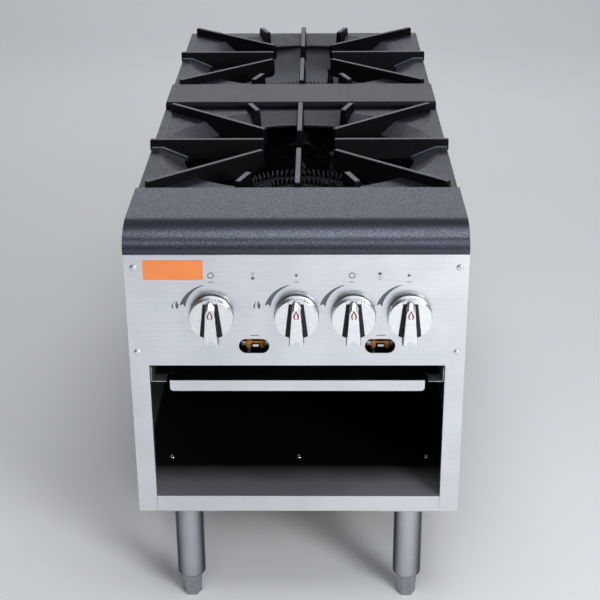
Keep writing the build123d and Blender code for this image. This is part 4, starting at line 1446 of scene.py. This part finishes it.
@dataclass
class Knob:
    """A control knob: chrome skirt, satin face in two halves, and a forked grip with a mark.

    Heights count from the panel, and places on the face from the knob's axis.
    """

    number: int
    gap: float = 1.5
    collar: float = 3.0
    bore_r: float = 7.0
    base_r: float = 30.2
    base_h: float = 6.0
    bevel: float = 0.8
    rim_r: float = 29.9
    neck_r: float = 27.4
    face_r: float = 29.0
    slot_floor: float = 12.5
    bed_t: float = 1.2
    neck: float = 15.9
    face: float = 18.2
    overlap: float = 0.5
    slot_top: Point = (9.8, 23.0)
    slot_tail: Point = (15.4, -25.5)
    lining: float = 0.8
    grip_front: float = 31.0
    grip_top: Point = (6.5, 27.5)
    grip_cut: float = 6.5
    grip_tail: Point = (10.4, -34.0)
    grip_draft: float = 0.9
    fork_half: float = 3.2
    fork_foot: float = -27.4
    fork_top: float = -25.6
    # height of the gable's foot, height and half width of its ridge
    gable: Spot = (15.5, 21.0, 1.3)
    gable_in: float = 0.6
    shoulder: float = 22.5
    mark_z: float = 11.6
    mark_size: Point = (3.9, 7.6)
    mark_deep: float = 0.12

    @property
    def x(self) -> float:
        """Place of the knob's axis along X."""
        return KNOB_XS[self.number - 1]

    def build(self, finishes: Finishes) -> None:
        """Makes the knob on its body."""
        sides = (-1, 1)
        # painted shade: the black slot bed, collar, groove halves and slot linings; the chrome and
        # satin faces carry a painted dark reflection at their outlines
        pieces = [
            paint(self.skirt(), finishes.chrome),
            paint(self.slot_bed(), finishes.black),
            paint(self.shaft_collar(), finishes.black),
            *[paint(self.neck_half(side), finishes.black) for side in sides],
            *[paint(self.slot_lining(side), finishes.black) for side in sides],
            *[paint(self.face_half(side), finishes.knob_face) for side in sides],
            paint(self.face_cap(), finishes.knob_face),
            paint(self.grip(), finishes.knob_face),
            paint(self.mark(), finishes.red_ink),
        ]
        name = f"knob_{self.number}"
        stand_in(join(pieces), name, "casting", name)

    def turned(self, profile: Sequence[Point], steps: int) -> bpy.types.Object:
        """A profile spun round the knob's axis."""
        return lathe(profile, (self.x, PANEL_Y, KNOB_Z), TOWARDS_FRONT, steps)

    def prism(
        self, outline: Sequence[Point], low: float, high: float, edge: float
    ) -> bpy.types.Object:
        """A slab between two heights, from its outline, with rounded edges."""
        points = [(self.x + a, PANEL_Y - low, KNOB_Z + b) for a, b in outline]
        return soften(slab(points, (0, low - high, 0)), edge, 3, 40)

    def skirt(self) -> bpy.types.Object:
        """The polished skirt behind the face, with a rolled rim."""
        low, high = self.gap + self.collar - self.bevel, self.slot_floor
        bed = high - 1.0
        profile = [
            (self.bore_r, low),
            (self.base_r - self.bevel, low),
            (self.base_r, low + self.bevel),
            (self.base_r, self.base_h),
            (self.rim_r, high - 1.6),
            (self.rim_r - 0.3, high - 0.5),
            (self.rim_r - 0.9, high),
            (self.neck_r, high),
            (self.neck_r, bed),
            (self.bore_r, bed),
            (self.bore_r, low),
        ]
        return smooth(self.turned(profile, 72), 50)

    def shaft_collar(self) -> bpy.types.Object:
        """A collar painted black between the panel and the skirt, as painted shade in the gap behind
        it.
        """
        low, high, radius = self.gap - 0.9, self.gap + self.collar, self.base_r - 1.2
        bore = self.bore_r
        profile = [(bore, low), (radius, low), (radius, high), (bore, high), (bore, low)]
        return smooth(self.turned(profile, 48), 50)

    def slot_bed(self) -> bpy.types.Object:
        """The bed that shows in the slots beside the grip, painted black as shade."""
        low, high, radius = self.slot_floor - self.bed_t, self.slot_floor, self.neck_r + 0.1
        return self.turned([(0, low), (radius, low), (radius, high), (0, high)], 48)

    def slot_edge(self, z: float) -> float:
        """Half distance between the slots' outer edges at a height."""
        (top_x, top_z), (tail_x, tail_z) = self.slot_top, self.slot_tail
        return top_x + (tail_x - top_x) * (top_z - z) / (top_z - tail_z)

    def rim_meets(self, upper: bool) -> float:
        """Height at which a slot's outer edge meets the face's rim, by closing in on it."""
        z = 24.0 if upper else -22.0
        for _ in range(12):
            z = math.copysign(math.sqrt(self.face_r**2 - self.slot_edge(z) ** 2), z)
        return z

    def half_disc(self, side: int, radius: float) -> list[Point]:
        """Outline of the part of a disc left or right of the grip and its slots."""
        start, end = (
            math.atan2(z, self.slot_edge(z)) for z in (self.rim_meets(True), self.rim_meets(False))
        )
        return [(side * a, b) for a, b in arc((0, 0), radius, start, end, 28)]

    def slot_lining(self, side: int) -> bpy.types.Object:
        """The lining of one slot, out to the face's rim, painted black as shade."""
        (top_x, top_z), (tail_x, tail_z) = self.grip_top, self.grip_tail
        shoulder_z = top_z - self.grip_cut
        slope = (tail_x - top_x) / (shoulder_z - tail_z)
        low = self.rim_meets(False)
        near = top_x + slope * (shoulder_z - low) - self.lining
        outline = [
            (side * (top_x - self.lining), self.slot_top[1]),
            (side * self.slot_top[0], self.slot_top[1]),
            (side * self.slot_edge(low), low),
            (side * near, -math.sqrt(self.face_r**2 - near**2)),
        ]
        return self.prism(outline, self.slot_floor - self.overlap, self.neck + 0.7, 0.15)

    def neck_half(self, side: int) -> bpy.types.Object:
        """The groove behind one half of the face, painted black as shade."""
        outline = self.half_disc(side, self.neck_r)
        return self.prism(outline, self.slot_floor - self.overlap, self.neck + 0.3, 0.2)

    def face_half(self, side: int) -> bpy.types.Object:
        """The face left or right of the grip: a plate with rounded edges."""
        return self.prism(self.half_disc(side, self.face_r), self.neck, self.face - 0.3, 0.5)

    def face_cap(self) -> bpy.types.Object:
        """The small piece of the face above the grip."""
        top_x, top_z = self.slot_top
        edge = math.sqrt(self.face_r**2 - top_x**2)
        rim = arc((0, 0), self.face_r, math.atan2(edge, top_x), math.atan2(edge, -top_x), 10)
        outline = [(-top_x, top_z), (top_x, top_z), *rim]
        return self.prism(outline, self.slot_floor - self.overlap, self.face - 0.6, 0.4)

    def grip(self) -> bpy.types.Object:
        """The grip: narrow above, forked below, its upper end cut back to a three-sided gable."""
        (top_x, top_z), (tail_x, tail_z) = self.grip_top, self.grip_tail
        ridge_x = self.gable[2]
        outline = [
            (-top_x, top_z - self.grip_cut),
            (-ridge_x, top_z),
            (ridge_x, top_z),
            (top_x, top_z - self.grip_cut),
            (tail_x, tail_z),
            (self.fork_half, self.fork_foot),
            (0, self.fork_top),
            (-self.fork_half, self.fork_foot),
            (-tail_x, tail_z),
        ]
        foot, front = self.slot_floor - self.overlap, self.grip_front - self.mark_deep
        points = [(self.x + a, PANEL_Y - foot, KNOB_Z + b) for a, b in outline]
        piece = slab(points, (0, foot - self.shoulder, 0))
        pick(piece, lambda face: face.normal.y < -0.9)
        push((0, self.shoulder - front, 0))
        bpy.ops.object.mode_set(mode="OBJECT")
        self.cut_front(piece, PANEL_Y - front)
        return soften(close(piece), 0.5, 2, 20)

    def cut_front(self, piece: bpy.types.Object, front: float) -> None:
        """Moves the corners of the grip's front: the upper ones to the gable, the rest inwards.

        Args:
            piece: The grip.
            front: Its front along Y, mm.
        """
        low_z, ridge_z, ridge_x = self.gable
        top_x, top_z = self.grip_top
        halfway = (front + PANEL_Y - self.shoulder) / 2
        for vertex in piece.data.vertices:
            place = vertex.co / MM
            if place.y > halfway:
                continue
            side = math.copysign(1.0, place.x - self.x)
            up = place.z - KNOB_Z
            if up > top_z - self.grip_cut / 2:
                vertex.co = Vector((self.x + side * 2 * ridge_x, front, KNOB_Z + ridge_z)) * MM
            elif up > 0:
                across = side * (top_x - self.gable_in)
                vertex.co = Vector((self.x + across, front, KNOB_Z + low_z)) * MM
            elif abs(place.x - self.x) > self.fork_half / 2:
                vertex.co.x -= side * self.grip_draft * MM

    def mark(self) -> bpy.types.Object:
        """A small flame printed on the grip, as an outline open at its foot."""
        wide, tall = self.mark_size
        start, sweep = math.radians(-62), math.radians(304)
        outer, inner = [], []
        # a round loop whose upper part is pinched and drawn up to a point
        for k in range(27):
            turn = start + sweep * k / 26
            lift = 1.0 + 0.35 * max(math.sin(turn), 0.0) ** 5
            pinch = 1.0 - 0.45 * max(math.sin(turn), 0.0) ** 2
            a, b = wide * math.cos(turn) * pinch, 0.75 * tall * math.sin(turn) * lift
            outer.append((a, self.mark_z + b))
            inner.append((0.5 * a, self.mark_z + 0.74 * b - 0.4))
        front = PANEL_Y - self.grip_front
        points = [(self.x + a, front, KNOB_Z + b) for a, b in [*outer, *reversed(inner)]]
        return slab(points, (0, self.mark_deep / 2, 0))


@dataclass
class Screws:
    """Pan head screws with a cross recess."""

    head_r: float = 4.5
    head_h: float = 2.2
    head_rim: float = 0.6
    shank_r: float = 2.4
    length: float = 9.0
    recess: Point = (0.45, 2.5)
    recess_deep: float = 1.1
    panel_spots: tuple[Point, ...] = ((-216.5, 543.0), (216.5, 543.0), (-217.5, 417.3), (217.5, 417.3))
    floor_top: float = 185.0
    floor_xs: tuple[float, ...] = (-190.5, 0.0, 190.5)
    channel_in: float = 10.0

    def build(self, finishes: Finishes) -> None:
        """Makes one screw and copies it to every place, each turned a little further."""
        screw = paint(self.screw(), finishes.chrome)
        front_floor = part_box("front_base_channel")[1].y / MM - self.channel_in
        rear_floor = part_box("rear_base_channel")[0].y / MM + self.channel_in
        forwards = Matrix.Rotation(math.radians(90), 4, "X")
        copies = []
        for index, (x, z) in enumerate(self.panel_spots):
            spin = forwards @ Matrix.Rotation(math.radians(23 * index + 12), 4, "Z")
            copies.append(self.put(screw, (x, PANEL_Y, z), spin))
        for index, x in enumerate(self.floor_xs):
            spin = Matrix.Rotation(math.radians(31 * index), 4, "Z")
            for y in (front_floor, rear_floor):
                copies.append(self.put(screw, (x, y, self.floor_top), spin))
        bpy.data.objects.remove(screw)
        hand_over(join(copies), "pan_head_screws", "range", ["body_screws"])

    def put(self, screw: bpy.types.Object, place: Spot, spin: Matrix) -> bpy.types.Object:
        """A copy of the screw at a place, in mm, turned."""
        return twin(screw, Matrix.Translation(Vector(place) * MM) @ spin)

    def screw(self) -> bpy.types.Object:
        """One screw with its head on the ground plane."""
        r, h, rim = self.head_r, self.head_h, self.head_rim
        turns = (0.15, 0.45, 0.8, 1.15)
        profile = [
            (0, -self.length),
            (self.shank_r, -self.length),
            (self.shank_r, 0),
            (r - 0.2, 0),
            (r, 0.3),
            *[(r * math.cos(t) ** 0.8, rim + (h - rim) * math.sin(t)) for t in turns],
            (0, h),
        ]
        head = lathe(profile, (0, 0, 0), steps=28)
        half, arm = self.recess
        corners = []
        for turn in range(4):
            spin = Matrix.Rotation(math.radians(90 * turn), 2)
            for corner in ((arm, -half), (arm, half), (half, half)):
                corners.append(tuple(spin @ Vector(corner)))
        cross = slab([(x, y, h - self.recess_deep) for x, y in corners], (0, 0, 2.0))
        cut = head.modifiers.new("cross recess", "BOOLEAN")
        cut.operation = "DIFFERENCE"
        cut.object = cross
        activate(head)
        bpy.ops.object.modifier_apply(modifier=cut.name)
        bpy.data.objects.remove(cross)
        return smooth(head, 40)


@dataclass
class Burners:
    """Ring burners with rows of small upright ports, their shutters and their pilots."""

    ring_top: float = 514.0
    ring_seam: float = 0.05
    # radius and number of ports in each row, for each ring of a casting
    outer_rings: tuple[tuple[float, int], ...] = ((103.0, 80), (65.5, 52))
    inner_rings: tuple[tuple[float, int], ...] = ((33.0, 26),)
    row_offset: float = 4.4
    port_r: float = 1.2
    port_bore: float = 0.7
    port_h: float = 8.0
    port_sunk: float = 0.5
    port_bevel: float = 0.5
    cap_low: float = 543.0

    def build(self, finishes: Finishes) -> None:
        """Makes both burners."""
        port = paint(self.port(), finishes.port)
        for place in ("front", "rear"):
            for kind, rings in (("outer", self.outer_rings), ("inner", self.inner_rings)):
                node = f"{place}_{kind}_burner"
                casting = paint(soften(self.without_ports(node), 0.9), finishes.iron)
                ports = self.ports(port, rings, GRATE_CENTRES[place])
                stand_in(join([casting, *ports]), node, "casting")
            node = f"{place}_air_shutters"
            # the shutters take the near-black sheet of painted shade
            shutters = keep_shape(node, 0.3, finishes.painted_shade_sheet)
            hand_over(shutters, f"{place}_shutter_discs", "range", [node])
            node = f"{place}_pilot_burner"
            pilot = keep_shape(node, 0.5, finishes.iron)
            dress_faces(pilot, finishes.steel, lambda face: face.center.z > self.cap_low * MM)
            hand_over(pilot, f"{place}_pilot_head", "range", [node])
        bpy.data.objects.remove(port)

    def without_ports(self, node: str) -> bpy.types.Object:
        """A burner casting cut level just above its rings."""
        piece = folded_copy(node)
        edit(piece)
        level = Vector((0, 0, self.ring_top + self.ring_seam)) * MM
        bpy.ops.mesh.bisect(plane_co=level, plane_no=(0, 0, 1), clear_outer=True, use_fill=True)
        return close(piece)

    def port(self) -> bpy.types.Object:
        """One port at the origin: a short tube end with a bevelled tip."""
        r, h, floor = self.port_r, self.port_h, self.port_h - 1.5
        profile = [
            (0, -self.port_sunk),
            (r + 0.2, -self.port_sunk),
            (r, 0.4),
            (r, h - 0.6),
            (r - self.port_bevel, h),
            (self.port_bore, h),
            (self.port_bore - 0.1, floor),
            (0, floor),
        ]
        return smooth(lathe(profile, (0, 0, 0), steps=8), 50)

    def ports(
        self, port: bpy.types.Object, rings: Sequence[tuple[float, int]], centre: float
    ) -> list[bpy.types.Object]:
        """Two staggered rows of ports on each ring.

        Args:
            port: The port at the origin.
            rings: Radius and number of ports in each row, for each ring.
            centre: The burner's centre along Y, mm.

        Returns:
            The copies of the port.
        """
        made = []
        for radius, count in rings:
            for row, reach in enumerate((radius - self.row_offset, radius + self.row_offset)):
                shift = math.pi * row / count
                for x, y in arc((0, centre), reach, shift, shift + 2 * math.pi, count)[:-1]:
                    place = Vector((x, y, self.ring_top)) * MM
                    made.append(twin(port, Matrix.Translation(place)))
        return made


@dataclass
class GasLine:
    """Manifold, supply pipe, valves, orifices and the tubes to the rear burner and the pilots."""

    barrel_pitch: float = 19.0
    valve_depth: float = 20.0
    nut_r: float = 3.9
    nut_low: float = 415.3
    nut_h: float = 5.0
    # the strips in a window: nearest and furthest place before the valves' middle
    strip_places: Point = (6.5, 4.4)
    # then left and right end from the window's middle, and lowest and highest edge
    bridge: tuple[Point, Point] = ((-12.5, 13.5), (424.6, 427.0))
    clip: tuple[Point, Point] = ((-3.4, 4.6), (418.6, 421.8))
    left_tab: tuple[Point, Point] = ((-19.0, -13.0), (419.4, 426.6))
    right_tab: tuple[Point, Point] = ((14.0, 18.0), (419.4, 426.6))
    tab_back: float = 1.0

    def build(self, finishes: Finishes) -> None:
        """Makes every piece of the line."""
        pieces = {
            "manifold_pipe": (0.5, finishes.pipe, Slot.PIPE),
            "supply_pipe": (0.8, finishes.pipe, Slot.PIPE),
            "orifices": (0.5, finishes.brass, Slot.BRASS),
        }
        for node, (edge, material, slot) in pieces.items():
            stand_in(keep_shape(node, edge, material), node, "body")
        for place, x in zip(("front", "rear"), WINDOW_XS):
            node = f"{place}_pilot_valve"
            valve = join([keep_shape(node, 0.4, finishes.brass), *self.adjusters(x, finishes)])
            stand_in(valve, node, "body")
        for number in range(1, 5):
            node = f"gas_valve_{number}"
            stand_in(keep_shape(node, 0.6, finishes.brass), node, "body")
            node = f"valve_stem_{number}"
            stem = keep_shape(node, 0.3, finishes.steel)
            stand_in(stem, node, "rod", f"knob_{number}")
        for line in ("rear_inner_gas", "rear_outer_gas", "front_pilot", "rear_pilot"):
            dress_node(f"{line}_tube", finishes.tube)

    def adjusters(self, x: float, finishes: Finishes) -> list[bpy.types.Object]:
        """What shows of a pilot valve in its window: two hexagon nuts, a bridge, a clip, two tabs.

        Args:
            x: The window's middle, mm.
            finishes: All finishes.

        Returns:
            The painted pieces.
        """
        made = []
        for side in (-1, 1):
            at = (x + side * self.barrel_pitch / 2, PANEL_Y + self.valve_depth, self.nut_low)
            profile = [(0, 0), (self.nut_r, 0), (self.nut_r, self.nut_h), (0, self.nut_h)]
            made.append(paint(soften(lathe(profile, at, steps=6), 0.4), finishes.brass))
        made.append(paint(soften(self.strip(x, self.bridge), 0.5), finishes.brass))
        made.append(paint(soften(self.strip(x, self.clip), 0.4), finishes.ceramic))
        for tab in (self.left_tab, self.right_tab):
            made.append(paint(soften(self.strip(x, tab, self.tab_back), 0.4), finishes.steel))
        return made

    def strip(
        self, x: float, edges: tuple[Point, Point], back: float = 0.0
    ) -> bpy.types.Object:
        """A flat strip behind a window, set back by a distance in mm."""
        (left, right), (low, high) = edges
        near, far = (PANEL_Y + self.valve_depth - place + back for place in self.strip_places)
        return block((x + left, near, low), (x + right, far, high))


@dataclass
class DripTray:
    """The pull-out tray, bright on its front lip, and the rails that it runs on."""

    lip_depth: float = 1.4
    lip_height: float = 1.2
    lip_drop: float = 1.2
    rail_end: float = 1.0

    def build(self, finishes: Finishes) -> None:
        """Makes the tray and both rails."""
        # the tray's body takes the near-black sheet of painted shade, its front lip the panel's finish
        tray = keep_shape("drip_tray", 0.5, finishes.painted_shade_sheet)
        low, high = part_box("drip_tray")
        reach, top = low.y + self.lip_depth * MM, high.z - self.lip_height * MM
        for vertex in tray.data.vertices:
            if vertex.co.y < reach and vertex.co.z > top:
                vertex.co.z -= self.lip_drop * MM
        dress_faces(
            tray, finishes.panel, lambda face: face.center.y < reach and face.normal.y < 0.5
        )
        stand_in(tray, "drip_tray", "pan", "drip_tray")
        for side in ("left", "right"):
            node = f"{side}_tray_rail"
            rail = keep_shape(node, 0.4, finishes.sheet)
            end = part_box(node)[0].y + self.rail_end * MM
            # painted highlight: the rail's front end takes the lighter plated steel
            dress_faces(rail, finishes.steel, lambda face: face.center.y < end)
            hand_over(rail, f"{side}_rail_fold", "range", [node])


@dataclass
class Legs:
    """Tube legs, their bolts and their levelling feet."""

    sole_h: float = 1.0
    sole_grow: float = 1.25
    foot_round: float = 1.8

    def build(self, finishes: Finishes) -> None:
        """Makes the four legs with their feet."""
        for number in range(1, 5):
            leg, foot = f"leg_{number}", f"foot_{number}"
            stand_in(keep_shape(leg, 0.6, finishes.leg), leg, "tube")
            stand_in(paint(self.foot(foot), finishes.foot), foot, "casting", foot)
        bolts = keep_shape("leg_bolts", 0.5, finishes.steel)
        hand_over(bolts, "hexagon_leg_bolts", "range", ["leg_bolts"])

    def foot(self, node: str) -> bpy.types.Object:
        """A foot with a wide sole whose corners are well rounded."""
        piece = folded_copy(node)
        low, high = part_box(node)
        middle = (low + high) / 2
        for vertex in piece.data.vertices:
            if vertex.co.z < self.sole_h * MM:
                vertex.co.x = middle.x + (vertex.co.x - middle.x) * self.sole_grow
                vertex.co.y = middle.y + (vertex.co.y - middle.y) * self.sole_grow
        return soften(piece, self.foot_round, 3)


@dataclass(frozen=True)
class SoftBox:
    """An area lamp, its places and its size in millimetres and its power in watts."""

    name: str
    at: Spot
    towards: Spot
    size: Point
    power: float

    def hang(self) -> None:
        """Adds the lamp to the scene."""
        data = bpy.data.lights.new(self.name, "AREA")
        data.shape = "RECTANGLE"
        data.size, data.size_y = (side * MM for side in self.size)
        data.energy = self.power
        lamp = bpy.data.objects.new(self.name, data)
        bpy.context.scene.collection.objects.link(lamp)
        lamp.location = Vector(self.at) * MM
        forward = Vector(self.towards) - Vector(self.at)
        lamp.rotation_euler = forward.to_track_quat("-Z", "Y").to_euler()


@dataclass
class Studio:
    """Pale floor, soft lamps and the camera, which stands where the photograph was taken."""

    camera_at: Spot = (30.18, -2117.65, 1261.01)
    pitch: float = 0.4211
    yaw: float = -0.0156
    roll: float = 0.0074
    focal_px: float = 1333.955
    image_px: float = 600.0
    sensor: float = 36.0
    shift_y: float = -0.05
    ground: Point = (-9000.0, 4200.0)
    wall_bend: float = 1400.0
    wall_top: float = 2900.0
    half_width: float = 9000.0
    bend_steps: int = 24
    ground_dark: str = "#E9EBEE"
    ground_light: str = "#ECEEF0"
    ground_patch: float = 900.0
    lamps: tuple[SoftBox, ...] = (
        SoftBox("overhead soft box", (250, -790, 3100), (200, -650, 500), (1700, 1700), 30),
        SoftBox("key", (1500, -2350, 1250), (450, -1950, 0), (900, 800), 46),
        SoftBox("front soft box", (200, -3100, 2400), (0, -500, 450), (3200, 1300), 25),
        SoftBox("rear soft box", (0, 2300, 1725), (0, 0, 600), (3200, 600), 6),
        SoftBox("backdrop", (0, 1500, 3300), (0, 4200, 1500), (3000, 1000), 50),
    )

    def build(self) -> None:
        """Makes the stage."""
        self.place_camera()
        self.lay_floor()
        for lamp in self.lamps:
            lamp.hang()
        self.light_world()
        bpy.context.scene.view_settings.view_transform = "Standard"

    def place_camera(self) -> None:
        """Places the camera by its pitch, yaw and roll in radians."""
        data = bpy.data.cameras.new("camera")
        camera = bpy.data.objects.new("camera", data)
        bpy.context.scene.collection.objects.link(camera)
        ahead = math.cos(self.pitch)
        forward = Vector(
            (math.sin(self.yaw) * ahead, math.cos(self.yaw) * ahead, -math.sin(self.pitch))
        )
        level = forward.cross(Vector((0, 0, 1))).normalized()
        down = forward.cross(level)
        right = math.cos(self.roll) * level + math.sin(self.roll) * down
        below = -math.sin(self.roll) * level + math.cos(self.roll) * down
        turn = Matrix((right, -below, -forward)).transposed().to_4x4()
        camera.matrix_world = Matrix.Translation(Vector(self.camera_at) * MM) @ turn
        data.lens = self.focal_px * self.sensor / self.image_px
        data.sensor_width = self.sensor
        data.shift_y = self.shift_y
        data.clip_end = 50.0
        bpy.context.scene.camera = camera

    def lay_floor(self) -> None:
        """A pale floor that curves up into a backdrop behind the range."""
        (front, back), bend = self.ground, self.wall_bend
        curve = arc((back - bend, bend), bend, -math.pi / 2, 0, self.bend_steps)
        line = [(front, 0.0), *curve, (back, self.wall_top)]
        deselect()
        bpy.ops.mesh.primitive_grid_add(x_subdivisions=1, y_subdivisions=len(line) - 1, size=1.0)
        cove = bpy.context.object
        cove.name = "studio_cove"
        rows = sorted({round(vertex.co.y, 4) for vertex in cove.data.vertices})
        for vertex in cove.data.vertices:
            y, z = line[rows.index(round(vertex.co.y, 4))]
            vertex.co = Vector((math.copysign(self.half_width, vertex.co.x), y, z)) * MM
        # matt paper: an even pale grey that takes soft shadows
        material, tree, place = new_material("pale studio floor")
        patches = noise(tree, place, self.ground_patch, 1.0)
        tone = ramp(tree, patches, linear(self.ground_dark), linear(self.ground_light))
        end_material(tree, {"Roughness": 0.7, "Specular IOR Level": 0.2}, {"Base Color": tone})
        paint(smooth(cove, 60), material)

    def light_world(self) -> None:
        """A plain grey world that the camera sees as pale."""
        world = bpy.data.worlds.new("studio")
        bpy.context.scene.world = world
        world.use_nodes = True
        tree = world.node_tree
        tree.nodes.clear()
        path = add_node(tree, "ShaderNodeLightPath")
        seen = add_node(tree, "ShaderNodeBackground", {"Color": linear("#EEF0F2"), "Strength": 1.0})
        lit = add_node(tree, "ShaderNodeBackground", {"Color": linear("#D5D8DE"), "Strength": 0.17})
        mixed = add_node(
            tree,
            "ShaderNodeMixShader",
            links={0: path.outputs["Is Camera Ray"], 1: lit.outputs[0], 2: seen.outputs[0]},
        )
        add_node(tree, "ShaderNodeOutputWorld", links={"Surface": mixed.outputs[0]})


def main() -> None:
    """Builds the stage and every sub-assembly."""
    logging.basicConfig(level=logging.INFO, format="%(message)s")
    finishes = Finishes()
    Studio().build()
    range_parts = [
        Cabinet(),
        PanelMarks(),
        Badge(),
        Deck(),
        *[Grate(place) for place in ("front", "rear")],
        *[Knob(number) for number in range(1, 5)],
        Screws(),
        Burners(),
        GasLine(),
        DripTray(),
        Legs(),
    ]
    for part in range_parts:
        part.build(finishes)


if __name__ == "__main__":
    main()
